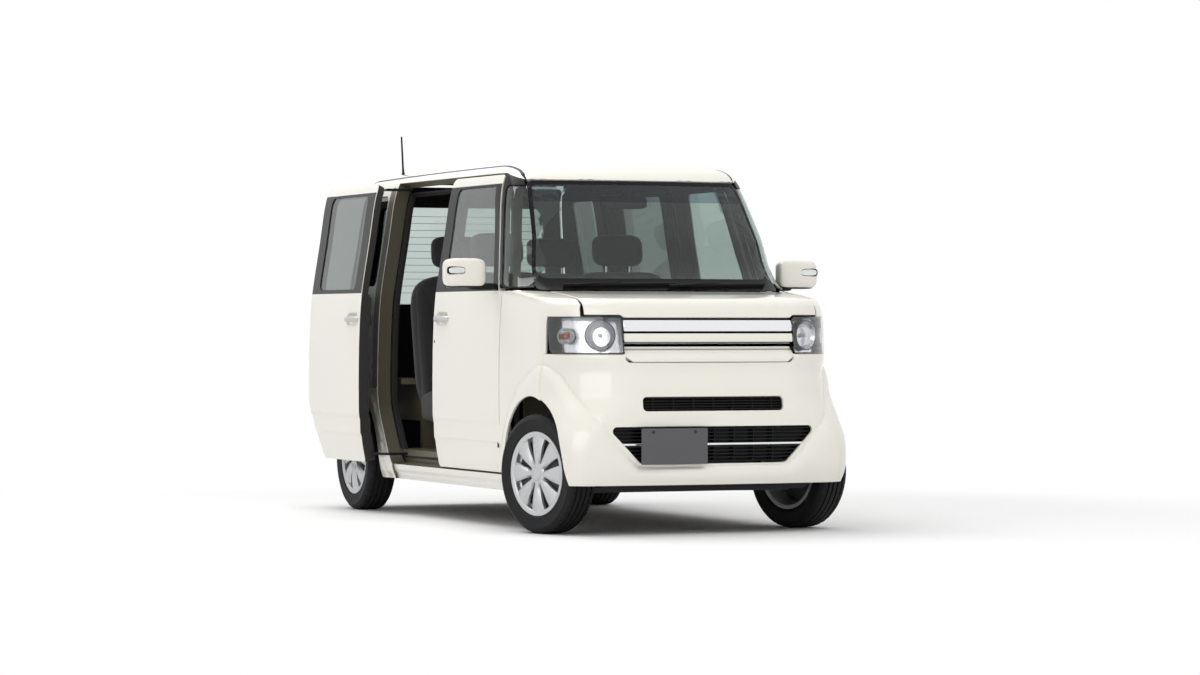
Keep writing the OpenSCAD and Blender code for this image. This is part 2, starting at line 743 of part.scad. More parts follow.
// Upper grille: painted bars, bright bars. Bars are shares of the grille's height.
BAR_LOW = 0; BAR_HIGH = 1; BAR_SINK = 2;
bar_t = 44;
painted_bar_shares = [[0.00, 0.34, 0.1], [0.46, 0.68, 0.1]];
bright_bar_shares = [[0.71, 1.00, 0.0], [0.38, 0.42, 0.4]];
function grille_z(share) = grille_bottom + (grille_top - grille_bottom) * share;
module grille_bar(b) {
    intersection() {
        skin(b[BAR_SINK] * panel_t, bar_t);
        front_prism(grille_outline);
        box([0, -reach, grille_z(b[BAR_LOW])], [reach, reach, grille_z(b[BAR_HIGH])]);
    }
}
module grille_bars() {
    color(paint_c) for (b = painted_bar_shares) grille_bar(b);
}
module grille_trim() {
    color(bright_c) for (b = bright_bar_shares) grille_bar(b);
}
// Louvres of the slit and of the lower intake, as bars between side stays.
louvre_pitch = 28;
louvre_t = 10;
stay_w = 24;
stay_shares = [-0.66, 0, 0.66];
module louvres(p, low, high, half) {
    intersection() {
        skin(panel_t / 2, panel_t * 3);
        front_prism(grown(p, -fit_gap));
        union() {
            for (z = [low : louvre_pitch : high])
                box([0, -reach, z], [reach, reach, z + louvre_t]);
            for (s = stay_shares)
                box([0, s * half - stay_w / 2, 0], [reach, s * half + stay_w / 2, reach]);
        }
    }
}
module intake_grilles() {
    color(black_c) {
        louvres(slit_outline, slit_bottom + louvre_t, slit_top, slit_half);
        louvres(intake_outline, intake_bottom + louvre_t, intake_top, intake_foot_half);
        intersection() {
            skin(bar_t + fit_gap, bar_t + louvre_t);
            front_prism(grown(grille_outline, -fit_gap));
        }
    }
}

// Headlamps: a bowl with a round reflector and a cover that follows the body.
reflector_r = 62;
reflector_y = 520;
reflector_z = (lamp_bottom + lamp_top) / 2 - small_r / 4;
module lamp_body(outer, inner) {
    intersection() {
        skin(outer, inner);
        front_prism(grown(lamp_outline, -fit_gap));
        box([lamp_rear_x, 0, 0], [reach, reach, body_height]);
    }
}
module headlamp_bowls() {
    color(grey_c) pair() difference() {
        lamp_body(panel_t, lamp_depth);
        along_x(front_axle_x, reach) translate([reflector_y, reflector_z]) circle(r = reflector_r, $fn = notch_fn * 2);
    }
}
module headlamp_lenses() {
    color(lens_c) pair() lamp_body(glass_t / 2, glass_t * 2);
}

module windscreen() {
    color(glass_c) intersection() {
        skin(glass_sink, glass_sink + glass_t);
        front_prism(grown(screen_outline, -glass_gap));
    }
}

// Cowl under the windscreen, on the bulkhead.
cowl_in = 24;
cowl_front_share = 0.6186;
cowl_front_x = cowl_front_share * half_l;
cowl_half = 545;
module cowl() {
    color(black_c) intersection() {
        envelope(cowl_in);
        box([bulkhead_x - floor_t, -cowl_half, cowl_z + fit_gap],
            [cowl_front_x, cowl_half, screen_foot - cowl_in]);
    }
}

// Doors. Hinge pins stand a little inside the outer skin near the front edge.
hinge_set_back = 39;
hinge_set_in = 29;
hinge_x = shut_x - hinge_set_back;
hinge_y = half_w - hinge_set_in;
hinge_pin_d = 12;
hinge_pin_l = 90;
hinge_arm_h = 28;
hinge_notch_r = 35.5;
// Facets of the small round cuts in panels
notch_fn = 24;
hinge_shares = [0.3805, 0.7611];
hinge_z = [for (s = hinge_shares) s * belt_height];
module hinge_notches() {
    $fn = notch_fn;
    for (z = hinge_z) {
        low = z - hinge_arm_h / 2 - shut_gap;
        high = z + hinge_arm_h / 2 + shut_gap;
        intersection() {
            envelope(glass_t);
            union() {
                translate([hinge_x, hinge_y, low]) cylinder(h = high - low, r = hinge_notch_r);
                box([hinge_x - hinge_notch_r, 0, low], [reach, hinge_y, high]);
            }
        }
        translate([hinge_x, hinge_y, z - hinge_pin_l / 2 - fit_gap])
            cylinder(h = hinge_pin_l + fit_gap * 2, d = hinge_pin_d + fit_gap * 2);
    }
}
module frame_relief() {
    intersection() {
        envelope(frame_t);
        box([-reach, 0, belt_height], [reach, reach, body_height]);
    }
}
// The foot of the doors steps in twice, and the sill under them lies as deep.
STEP_TOP = 0; STEP_IN = 1;
foot_steps = [[crease_z, crease_in], [step_z, step_in]];
module foot_cuts() {
    for (s = foot_steps) difference() {
        box([slide_rear_x - shut_gap, roof_half, 0], [shut_x + shut_gap, reach, s[STEP_TOP]]);
        envelope(s[STEP_IN]);
    }
}
module front_door() {
    difference() {
        intersection() {
            skin(0, door_t);
            side_prism(front_door_outline, roof_half + shut_gap);
        }
        foot_cuts();
        side_prism(front_window_outline);
        frame_relief();
        hinge_notches();
    }
}
module front_door_right() {
    color(paint_c) right_of(true) front_door();
}
module front_door_left() {
    color(paint_c) front_door();
}
module side_pane(p) {
    intersection() {
        skin(glass_sink, glass_sink + glass_t);
        side_prism(grown(p, -glass_gap));
    }
}
module front_door_glass_right() {
    color(glass_c) right_of(true) side_pane(front_window_outline);
}
module front_door_glass_left() {
    color(glass_c) side_pane(front_window_outline);
}
module sliding_door() {
    difference() {
        intersection() {
            skin(0, door_t);
            side_prism(slide_outline, roof_half + shut_gap);
        }
        foot_cuts();
        side_prism(slide_window_outline);
        frame_relief();
    }
}
module opened() {
    translate([-slide_travel, -slide_out, 0]) right_of(true) children();
}
module sliding_door_right() {
    color(paint_c) opened() sliding_door();
}
module sliding_door_left() {
    color(paint_c) sliding_door();
}
module sliding_door_glass() {
    color(glass_c) {
        opened() side_pane(slide_window_outline);
        side_pane(slide_window_outline);
    }
}
module quarter_glass() {
    color(glass_c) pair() {
        difference() {
            side_pane(quarter_outline);
            front_prism(grown(screen_outline, small_r));
        }
        side_pane(rear_quarter_outline);
    }
}

// Arms that carry the sliding doors: two at the front edge, one at the rear edge
// of the open door, from the door's inner face to the rails in the body.
arm_w = 44;
arm_t = 12;
lower_arm_z = 302;
middle_arm_share = 0.6106;
middle_arm_z = middle_arm_share * belt_height;
upper_arm_z = door_top - door_lap - fit_gap - arm_t;
module inside_door(travel, out, t) {
    intersection() {
        translate([-travel, out, 0]) envelope(t + fit_gap);
        children();
    }
}
module slide_arms(travel, out) {
    door_x = slide_front_x - travel - arm_w;
    foot_x = max(door_x - arm_w, slide_rear_x + slide_cut_l + small_r);
    inside_door(travel, out, door_t) along_z(lower_arm_z, lower_arm_z + arm_t) polygon([
        [foot_x, floor_half + fit_gap],
        [foot_x + arm_w, floor_half + fit_gap],
        [foot_x + arm_w, half_w],
        [door_x, half_w + out - door_t],
        [door_x - arm_w, half_w + out - door_t],
        [foot_x, half_w]]);
    inside_door(travel, out, frame_t)
        box([door_x - arm_w, roof_half + shut_gap, upper_arm_z], [door_x, reach, upper_arm_z + arm_t]);
}
module slide_gear() {
    color(black_c) {
        slide_arms(0, 0);
        right_of(true) {
            slide_arms(slide_travel, slide_out);
            difference() {
                inside_door(slide_travel, slide_out, door_t)
                    box([slide_rear_x - slide_travel + arm_w * 2, 0, middle_arm_z],
                        [slide_rear_x - slide_travel + arm_w * 3, reach, middle_arm_z + arm_t]);
                envelope(-fit_gap);
            }
        }
    }
}

// Door mirrors.
mirror_share = 0.4194;
mirror_x = mirror_share * half_l;
mirror_z_share = 1.0142;
mirror_z = mirror_z_share * belt_height;
mirror_foot_w = 56;
mirror_foot_h = 40;
mirror_foot_z = belt_height + mirror_foot_h;
mirror_r = 34;
mirror_in = mirror_reach - mirror_w;
module mirror_shape() {
    translate([mirror_x - mirror_depth / 2, 0, 0])
        along_x(0, mirror_depth) polygon(rounded([
            [mirror_in, mirror_z, mirror_r, 5],
            [mirror_reach, mirror_z, mirror_r, 5],
            [mirror_reach, mirror_z + mirror_h, mirror_r, 5],
            [mirror_in, mirror_z + mirror_h, mirror_r, 5]]));
    difference() {
        box([mirror_x - mirror_foot_w, 0, belt_height + shut_gap],
            [mirror_x, mirror_in + mirror_r, belt_height + shut_gap + mirror_foot_h]);
        envelope(-fit_gap);
    }
}
module mirror_right() {
    color(paint_c) right_of(true) mirror_shape();
}
module mirror_left() {
    color(paint_c) mirror_shape();
}

// Tail: tailgate, its glass, bumper, lamps.
tailgate_t = 62;
tailgate_front_share = -0.9155;
tailgate_front_x = tailgate_front_share * half_l;
plate_recess_half = 190;
module tailgate() {
    color(paint_c) difference() {
        intersection() {
            skin(0, tailgate_t);
            rear_prism(tailgate_outline);
        }
        box([-reach, -reach, tailgate_top], [reach, reach, body_height * 2]);
        rear_prism(rear_glass_outline);
        box([tailgate_front_x, -reach, 0], [reach, reach, body_height]);
        tailgate_notches();
    }
}
module tailgate_glass() {
    color(glass_c) intersection() {
        skin(glass_sink, glass_sink + glass_t);
        rear_prism(grown(rear_glass_outline, -glass_gap));
    }
}
rear_bumper_bottom = 260;
rear_bumper_t = 40;
rear_bracket_h = 26;
rear_bracket_y = 260;
module rear_bumper() {
    color(paint_c) pair() intersection() {
        envelope(rear_bumper_t / 2);
        box([-reach, rear_bracket_y, rear_floor_z - floor_t],
            [rear_floor_x - fit_gap, rear_bracket_y + arm_w, rear_floor_z - floor_t + rear_bracket_h]);
    }
    color(paint_c) difference() {
        intersection() {
            skin(0, rear_bumper_t);
            box([-reach, -reach, rear_bumper_bottom],
                [rear_bumper_front_x - shut_gap, reach, rear_split - shut_gap]);
        }
        pair() arch_cut(rear_axle_x, rear_arch_r);
    }
}
module tail_lamps() {
    color(red_c) pair() intersection() {
        skin(0, panel_t * 2);
        side_prism(tail_lamp_outline);
        box([-reach, tail_lamp_in, 0], [0, reach, body_height]);
    }
}

// Hinge pins and their arms on the body.
hinge_foot_l = 30;
hinge_foot_w = 26;
hinge_arm_w = 8;
hinge_foot_x = hinge_x + hinge_foot_w * 0.6;
hinge_foot_y = half_w - wall_t - hinge_foot_l / 3;
module hinge_foot(z, g) {
    box([hinge_foot_x - hinge_foot_w / 2 - g, hinge_foot_y - g, z - hinge_arm_h / 2 - g],
        [hinge_foot_x + hinge_foot_w / 2 + g, hinge_foot_y + hinge_foot_l + g, z + hinge_arm_h / 2 + g]);
}
module hinge_arm(z) {
    translate([hinge_x, hinge_y, z - hinge_pin_l / 2]) cylinder(h = hinge_pin_l, d = hinge_pin_d);
    hinge_foot(z, 0);
    along_z(z - hinge_arm_h / 2, z + hinge_arm_h / 2) polygon([
        [hinge_x - hinge_arm_w / 2, hinge_y],
        [hinge_x + hinge_arm_w / 2, hinge_y],
        [hinge_foot_x + hinge_arm_w / 2, hinge_foot_y + hinge_foot_l / 2],
        [hinge_foot_x - hinge_arm_w / 2, hinge_foot_y + hinge_foot_l / 2]]);
}
// Bonnet hinge: a plate on the bulkhead with a pin through the bonnet's lug.
bonnet_hinge_share = 0.6480;
bonnet_hinge_x = bonnet_hinge_share * half_l;
bonnet_hinge_z_share = 0.9664;
bonnet_hinge_z = bonnet_hinge_z_share * belt_height;
bonnet_pin_d = 10;
bonnet_plate_y = 562;
bonnet_plate_t = 10;
bonnet_lug_t = 10;
bonnet_lug_gap = 2;
bonnet_plate_low_share = 0.8982;
bonnet_plate_low = bonnet_plate_low_share * belt_height;
bonnet_plate_rise = 36;
module bonnet_hinge() {
    along_y(bonnet_plate_y, bonnet_plate_y + bonnet_plate_t) {
        translate([bonnet_hinge_x, bonnet_hinge_z]) circle(r = bonnet_pin_d);
        polygon([
            [bulkhead_x + fit_gap, bonnet_plate_low],
            [bonnet_hinge_x + bonnet_pin_d, bonnet_hinge_z - bonnet_pin_d],
            [bonnet_hinge_x + bonnet_pin_d * 0.6, bonnet_hinge_z - bonnet_pin_d / 2],
            [bonnet_hinge_x - bonnet_pin_d * 0.6, bonnet_hinge_z - bonnet_pin_d * 0.6],
            [bulkhead_x + fit_gap, bonnet_plate_low + bonnet_plate_rise]]);
    }
    translate([bonnet_hinge_x, bonnet_plate_y - bonnet_lug_t - bonnet_lug_gap * 2, bonnet_hinge_z])
        rotate([-90, 0, 0]) cylinder(h = bonnet_lug_t + bonnet_lug_gap * 2 + bonnet_plate_t / 2, d = bonnet_pin_d);
}
module bonnet_lug() {
    difference() {
        intersection() {
            envelope(panel_t / 2);
            box([bonnet_hinge_x - bonnet_pin_d, bonnet_plate_y - bonnet_lug_t - bonnet_lug_gap,
                    bonnet_hinge_z - bonnet_pin_d],
                [bonnet_hinge_x + bonnet_pin_d * 2, bonnet_plate_y - bonnet_lug_gap, body_height]);
        }
        translate([bonnet_hinge_x, 0, bonnet_hinge_z]) rotate([-90, 0, 0])
            cylinder(h = half_w, d = bonnet_pin_d + fit_gap * 2);
    }
}
// Tailgate hinge: an arm under the roof's header with a pin in the tailgate's notch.
tailgate_hinge_share = -0.9238;
tailgate_hinge_x = tailgate_hinge_share * half_l;
tailgate_hinge_drop = 107;
tailgate_hinge_z = body_height - tailgate_hinge_drop;
tailgate_pin_d = 7;
tailgate_arm_y = 335;
tailgate_arm_w = 24;
tailgate_arm_t = 8;
tailgate_elbow_share = -0.9113;
tailgate_elbow_x = tailgate_elbow_share * half_l;
tailgate_notch = 8;
tailgate_notch_r = 46;
module bar(a, b, w) {
    side = [a[1] - b[1], b[0] - a[0]] * w / 2 / norm(b - a);
    polygon([a + side, a - side, b - side, b + side]);
}
module tailgate_hinge() {
    foot = header_z - fit_gap;
    along_y(tailgate_arm_y - tailgate_arm_w / 2, tailgate_arm_y + tailgate_arm_w / 2) {
        bar([tailgate_hinge_x, tailgate_hinge_z], [tailgate_elbow_x, foot - tailgate_arm_t], tailgate_arm_t);
        polygon([
            [tailgate_elbow_x - tailgate_arm_t / 2, foot - tailgate_arm_t * 1.5],
            [header_front_x, foot - tailgate_arm_t * 1.5],
            [header_front_x, foot],
            [tailgate_elbow_x, foot]]);
    }
    tailgate_pin(0);
}
module tailgate_pin(g) {
    l = tailgate_arm_w + tailgate_notch * 3;
    translate([tailgate_hinge_x, tailgate_arm_y - l / 2 - g, tailgate_hinge_z]) rotate([-90, 0, 0])
        cylinder(h = l + g * 2, d = tailgate_pin_d + g * 2, $fn = notch_fn * 2);
}
module tailgate_notches() {
    half = tailgate_arm_w / 2 + tailgate_notch;
    pair() {
        intersection() {
            envelope(glass_t);
            along_y(tailgate_arm_y - half, tailgate_arm_y + half) {
                translate([tailgate_hinge_x, tailgate_hinge_z]) circle(r = tailgate_notch_r, $fn = notch_fn);
                translate([tailgate_hinge_x, tailgate_hinge_z - tailgate_notch_r * 2])
                    square([tailgate_notch_r * 3, tailgate_notch_r * 3]);
            }
        }
        box([-reach, tailgate_arm_y - half, tailgate_hinge_z + tailgate_pin_d],
            [reach, tailgate_arm_y + half, reach]);
        tailgate_pin(fit_gap);
    }
}
module hinges() {
    color(grey_c) pair() {
        for (z = hinge_z) hinge_arm(z);
        bonnet_hinge();
        tailgate_hinge();
    }
}

// Seats, dashboard, steering wheel.
seat_front_share = 0.2533;
seat_front_x = seat_front_share * half_l;
seat_rear_share = -0.0471;
seat_rear_x = seat_rear_share * half_l;
cushion_t = 180;
back_t = 150;
back_lean = 150;
back_top = 1230;
head_top = 1430;
head_h = 170;
head_w = 260;
head_t = 110;
seat_base_w = 340;
module seat(front, rear, w) {
    back_foot = seat_height - cushion_t / 2;
    along_y(-w / 2, w / 2) polygon(rounded([
        [rear - back_t / 2, seat_height - cushion_t, small_r, 3],
        [front, seat_height - cushion_t, small_r, 3],
        [front, seat_height, corner_r, 3],
        [rear + back_t / 2, seat_height - small_r, small_r, 3],
        [rear + back_t / 2 - back_lean, back_top, corner_r, 3],
        [rear - back_t / 2 - back_lean, back_top, corner_r, 3]]));
}
module head_rest(rear) {
    x = rear - back_lean - small_r;
    along_y(-head_w / 2, head_w / 2) polygon(rounded([
        [x - head_t / 2, head_top - head_h, corner_r, 3],
        [x + head_t / 2, head_top - head_h, corner_r, 3],
        [x + head_t / 2 - small_r, head_top, corner_r, 3],
        [x - head_t / 2 - small_r, head_top, corner_r, 3]]));
    for (s = [-1, 1])
        translate([x, s * head_w / 4, back_top - corner_r])
            cylinder(h = head_top - head_h - back_top + corner_r * 2, d = small_r / 1.5);
}
module front_seats() {
    color(seat_c) for (s = [-1, 1]) translate([0, s * seat_y, 0]) {
        seat(seat_front_x, seat_rear_x, seat_w);
        head_rest(seat_rear_x);
        box([seat_rear_x, -seat_base_w / 2, floor_height + fit_gap],
            [seat_front_x - corner_r, seat_base_w / 2, seat_height - cushion_t + small_r]);
    }
}
rear_seat_front_share = -0.2504;
rear_seat_front_x = rear_seat_front_share * half_l;
rear_seat_rear_share = -0.4901;
rear_seat_rear_x = rear_seat_rear_share * half_l;
rear_seat_w = 1060;
module rear_seat() {
    color(seat_c) {
        seat(rear_seat_front_x, rear_seat_rear_x, rear_seat_w);
        for (s = [-1, 1]) translate([0, s * rear_seat_w / 4, 0]) head_rest(rear_seat_rear_x);
        box([rear_seat_rear_x, -rear_seat_w / 3, floor_height + fit_gap],
            [rear_seat_front_x - corner_r, rear_seat_w / 3, seat_height - cushion_t + small_r]);
    }
}
dash_front_share = 0.5703;
dash_front_x = dash_front_share * half_l;
dash_rear_share = 0.3770;
dash_rear_x = dash_rear_share * half_l;
dash_half = 572;
dash_top_share = 0.9575;
dash_top = dash_top_share * belt_height;
dash_low_share = 0.6416;
dash_low = dash_low_share * belt_height;
column_tilt = 26;
column_share = 0.3417;
column_x = column_share * half_l;
column_z_share = 0.8717;
column_z = column_z_share * belt_height;
column_d = 60;
column_l = 200;
module on_column() {
    translate([column_x, -seat_y, column_z]) rotate([0, -90 + column_tilt, 0]) children();
}
module dashboard() {
    color(black_c) difference() {
        union() {
            along_y(-dash_half, dash_half) polygon(rounded([
                [dash_front_x, bulkhead_step_z + fit_gap, 0, 1],
                [dash_front_x, dash_top - corner_r, small_r, 3],
                [dash_rear_x + corner_r * 2, dash_top, corner_r, 3],
                [dash_rear_x, dash_top - corner_r * 2, corner_r, 3],
                [dash_rear_x + corner_r * 3, dash_low, corner_r, 3],
                [floor_front_x + fit_gap, bulkhead_step_z + fit_gap, 0, 1]]));
            on_column() translate([0, 0, -column_l]) cylinder(h = column_l - small_r, d = column_d);
        }
        on_column() translate([0, 0, -small_r * 3]) cylinder(h = column_l, d = small_r + hub_play * 2);
    }
}
steering_hub_d = 130;
steering_hub_t = 40;
module steering_wheel() {
    color(black_c) on_column() {
        rotate_extrude() translate([(steering_d - steering_rim_d) / 2, 0]) circle(d = steering_rim_d);
        translate([0, 0, -steering_hub_t / 4]) cylinder(h = steering_hub_t, d = steering_hub_d);
        for (a = [0, 120, 240]) rotate([0, 0, a + 180])
            box([0, -small_r, -small_r / 4], [(steering_d - steering_rim_d) / 2, small_r, small_r / 2]);
        translate([0, 0, -small_r * 3 + fit_gap]) cylinder(h = small_r * 3, d = small_r);
    }
}

// Running gear.
engine_l = 380;
engine_w = 500;
engine_h = 430;
engine_rear_share = 0.6362;
engine_rear_x = engine_rear_share * half_l;
engine_low = 320;
mount_share = 0.7305;
mount_x = mount_share * half_l;
engine_mount_h = 50;
module engine() {
    color(grey_c) {
        box([engine_rear_x, -engine_w / 2, engine_low],
            [engine_rear_x + engine_l, engine_w / 2, engine_low + engine_h]);
        box([mount_x, fit_gap - rail_in, rail_bottom + engine_mount_h / 2],
            [mount_x + engine_mount_h, rail_in - fit_gap, rail_bottom + engine_mount_h * 1.5]);
    }
}
pipe_d = 46;
silencer_d = 150;
silencer_l = 420;
exhaust_y = -180;
exhaust_z = 211;
exhaust_rear_share = -0.9661;
exhaust_rear_x = exhaust_rear_share * half_l;
silencer_share = -0.8365;
silencer_x = silencer_share * half_l;
exhaust_front_share = 0.6009;
exhaust_front_x = exhaust_front_share * half_l;
down_pipe_z = 450;
module exhaust() {
    color(bright_c) {
        translate([exhaust_rear_x, exhaust_y, exhaust_z]) rotate([0, 90, 0])
            cylinder(h = exhaust_front_x - exhaust_rear_x, d = pipe_d);
        translate([exhaust_front_x, exhaust_y, exhaust_z]) {
            sphere(d = pipe_d);
            cylinder(h = down_pipe_z - exhaust_z, d = pipe_d);
        }
        translate([exhaust_front_x, exhaust_y, down_pipe_z]) {
            sphere(d = pipe_d);
            rotate([0, 90, 0]) cylinder(h = engine_rear_x - exhaust_front_x - fit_gap, d = pipe_d);
        }
        translate([silencer_x - silencer_l / 2, exhaust_y, exhaust_z + pipe_d / 2]) rotate([0, 90, 0])
            cylinder(h = silencer_l, d = silencer_d);
    }
}
arm_z = 205;
arm_h = 24;
arm_end_r = 30;
arm_half = 22;
subframe_l = 160;
subframe_h = 60;
subframe_half = 360;
strut_d = 44;
knuckle_d = 52;
// Distances along the leaning axis from the wheel centre's height.
knuckle_low = -63;
knuckle_high = 150;
strut_high = 388;
front_hub_z = wheel_r + kingpin_rise;
module leaning() {
    translate([front_axle_x, kingpin_y, front_hub_z]) rotate([kingpin_lean, 0, 0]) children();
}
module front_suspension() {
    color(grey_c) {
        box([front_axle_x - subframe_l, -subframe_half, arm_z - arm_h],
            [front_axle_x - subframe_l / 4, subframe_half, arm_z - arm_h + subframe_h]);
        pair() {
            along_z(arm_z - arm_h, arm_z) {
                translate([front_axle_x, kingpin_y]) circle(r = arm_end_r);
                polygon([
                    [front_axle_x - subframe_l, subframe_half - arm_w],
                    [front_axle_x - subframe_l / 4, subframe_half - arm_w],
                    [front_axle_x + arm_half, kingpin_y],
                    [front_axle_x - arm_half, kingpin_y]]);
            }
            leaning() translate([0, 0, knuckle_high + fit_gap])
                cylinder(h = strut_high - knuckle_high, d = strut_d);
            leaning() translate([0, 0, knuckle_low - fit_gap - small_r])
                cylinder(h = small_r, r = arm_half);
            box([front_axle_x - subframe_l, rail_in, arm_z],
                [front_axle_x - subframe_l / 4, subframe_half, rail_bottom - fit_gap]);
        }
    }
}
module steered(angle) {
    leaning() rotate([0, 0, angle]) rotate([-kingpin_lean, 0, 0]) children();
}
module at_kingpin() {
    steered(steer_at_rest) children();
}
module at_kingpin_right() {
    mirror([0, 1, 0]) steered(-steer_at_rest) children();
}
stub_out = 30;
module knuckle() {
    rotate([kingpin_lean, 0, 0]) translate([0, 0, knuckle_low])
        cylinder(h = knuckle_high - knuckle_low, d = knuckle_d);
    rotate([-90, 0, 0]) cylinder(h = kingpin_inset + stub_out, d = stub_d);
}
module knuckle_right() {
    color(grey_c) at_kingpin_right() knuckle();
}
module knuckle_left() {
    color(grey_c) at_kingpin() knuckle();
}
beam_d = 76;
beam_share = -0.6598;
beam_x = beam_share * half_l;
beam_half = 480;
trail_w = 44;
trail_h = 60;
trail_front_share = -0.5479;
trail_front_x = trail_front_share * half_l;
module rear_axle() {
    color(grey_c) {
        translate([beam_x, -beam_half, wheel_r]) rotate([-90, 0, 0]) cylinder(h = beam_half * 2, d = beam_d);
        pair() {
            box([rear_axle_x - trail_h, beam_half - trail_w, wheel_r - trail_h / 2],
                [trail_front_x, beam_half, floor_height - floor_t - fit_gap]);
            translate([rear_axle_x, beam_half - trail_w / 2, wheel_r]) rotate([-90, 0, 0])
                cylinder(h = wheel_y + stub_out - beam_half + trail_w / 2, d = stub_d);
        }
    }
}

// Wheels and tyres, turned about Z with the outer face up.
tyre_half = tyre_w / 2;
bead_half = 60;
rim_t = 9;
flange_h = 10;
flange_r = rim_d / 2 + flange_h;
flange_w = 6;
hub_d = 120;
hub_in = 24;
disc_t = 14;
disc_z = 36;
cover_z = 60;
cover_rise = 12;
cover_t = 8;
spoke_in_r = 78;
spoke_out_r = 158;
spoke_web = 30;
tread_r = 16;
module tyre() {
    rotate_extrude($fn = 96) polygon(rounded([
        [rim_d / 2 + fit_gap, -bead_half, 0, 1],
        [cover_d / 2 + small_r / 5, -bead_half, 0, 1],
        [(rim_d / 2 + wheel_r) / 2, -tyre_half, corner_r, 3],
        [wheel_r - tread_r, -tyre_half + glass_t, tread_r, 3],
        [wheel_r, -tyre_half + corner_r / 2, tread_r * 2, 3],
        [wheel_r, tyre_half - corner_r / 2, tread_r * 2, 3],
        [wheel_r - tread_r, tyre_half - glass_t, tread_r, 3],
        [(rim_d / 2 + wheel_r) / 2, tyre_half, corner_r, 3],
        [cover_d / 2 + small_r / 5, bead_half, 0, 1],
        [rim_d / 2 + fit_gap, bead_half, 0, 1]]));
}
module wheel() {
    difference() {
        union() {
            rotate_extrude($fn = 96) polygon([
                [rim_d / 2 - rim_t, -bead_half - flange_w],
                [flange_r, -bead_half - flange_w],
                [flange_r, -bead_half - fit_gap],
                [rim_d / 2, -bead_half - fit_gap],
                [rim_d / 2, bead_half + fit_gap],
                [cover_d / 2, bead_half + fit_gap],
                [cover_d / 2, bead_half + cover_t],
                [spoke_out_r, cover_z + cover_rise],
                [0, cover_z + cover_rise],
                [0, disc_z],
                [rim_d / 2 - rim_t, disc_z]]);
            translate([0, 0, -hub_in]) cylinder(h = hub_in + disc_z + cover_t, d = hub_d);
        }
        for (k = [0:spokes - 1]) rotate([0, 0, k * 360 / spokes])
            along_z(-bead_half, reach) polygon(rounded([
                [spoke_in_r, -spoke_web / 4, glass_t, 3],
                [spoke_out_r, -spoke_web, glass_t * 2, 3],
                [spoke_out_r, spoke_web, glass_t * 2, 3],
                [spoke_in_r, spoke_web / 4, glass_t, 3]]));
        translate([0, 0, -bead_half]) cylinder(h = bead_half + stub_out + fit_gap, d = stub_d + hub_play * 2);
    }
}
module turned_out() {
    rotate([-90, 0, 0]) children();
}
module front_corner(right) {
    if (right) at_kingpin_right() translate([0, kingpin_inset, 0]) turned_out() children();
    else at_kingpin() translate([0, kingpin_inset, 0]) turned_out() children();
}
module rear_corner(right) {
    right_of(right) translate([rear_axle_x, wheel_y, wheel_r]) turned_out() children();
}
module wheel_front_right() {
    color(bright_c) front_corner(true) wheel();
}
module wheel_front_left() {
    color(bright_c) front_corner(false) wheel();
}
module wheel_rear_right() {
    color(bright_c) rear_corner(true) wheel();
}
module wheel_rear_left() {
    color(bright_c) rear_corner(false) wheel();
}
module tyre_front_right() {
    color(rubber_c) front_corner(true) tyre();
}
module tyre_front_left() {
    color(rubber_c) front_corner(false) tyre();
}
module tyre_rear_right() {
    color(rubber_c) rear_corner(true) tyre();
}
module tyre_rear_left() {
    color(rubber_c) rear_corner(false) tyre();
}

aerial_share = -0.8660;
aerial_x = aerial_share * half_l;
aerial_y = -390;
aerial_foot_drop = 32;
aerial_foot_z = body_height - aerial_foot_drop;
aerial_lean = 8;
module aerial() {
    color(black_c) difference() {
        translate([aerial_x, aerial_y, aerial_foot_z]) rotate([0, -aerial_lean, 0]) {
            cylinder(h = aerial_l, d = aerial_d, $fn = 12);
            translate([0, 0, -aerial_d]) cylinder(h = aerial_d * 4, d1 = aerial_d * 4, d2 = aerial_d, $fn = 24);
        }
        envelope(-fit_gap);
    }
}

floor_pan();
body_side_right();
body_side_left();
roof_panel();
wings();
bonnet();
front_bumper();
grille_bars();
grille_trim();
intake_grilles();
headlamp_bowls();
headlamp_lenses();
windscreen();
cowl();
front_door_right();
front_door_left();
front_door_glass_right();
front_door_glass_left();
mirror_right();
mirror_left();
sliding_door_right();
sliding_door_left();
sliding_door_glass();
slide_gear();
quarter_glass();
tailgate();
tailgate_glass();
rear_bumper();
tail_lamps();
hinges();
front_seats();
rear_seat();
dashboard();
steering_wheel();
engine();
exhaust();
front_suspension();
rear_axle();
knuckle_right();
knuckle_left();
wheel_front_right();
wheel_front_left();
wheel_rear_right();
wheel_rear_left();
tyre_front_right();
tyre_front_left();
tyre_rear_right();
tyre_rear_left();
aerial();
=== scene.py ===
# %% [markdown]
# A tall kei car with one sliding door open. The imported model holds every piece at
# its real size; this lesson dresses it. We load it first.

# %% Load the frame
import json
import math

import bpy
import numpy as np
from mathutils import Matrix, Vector
from mathutils.geometry import delaunay_2d_cdt


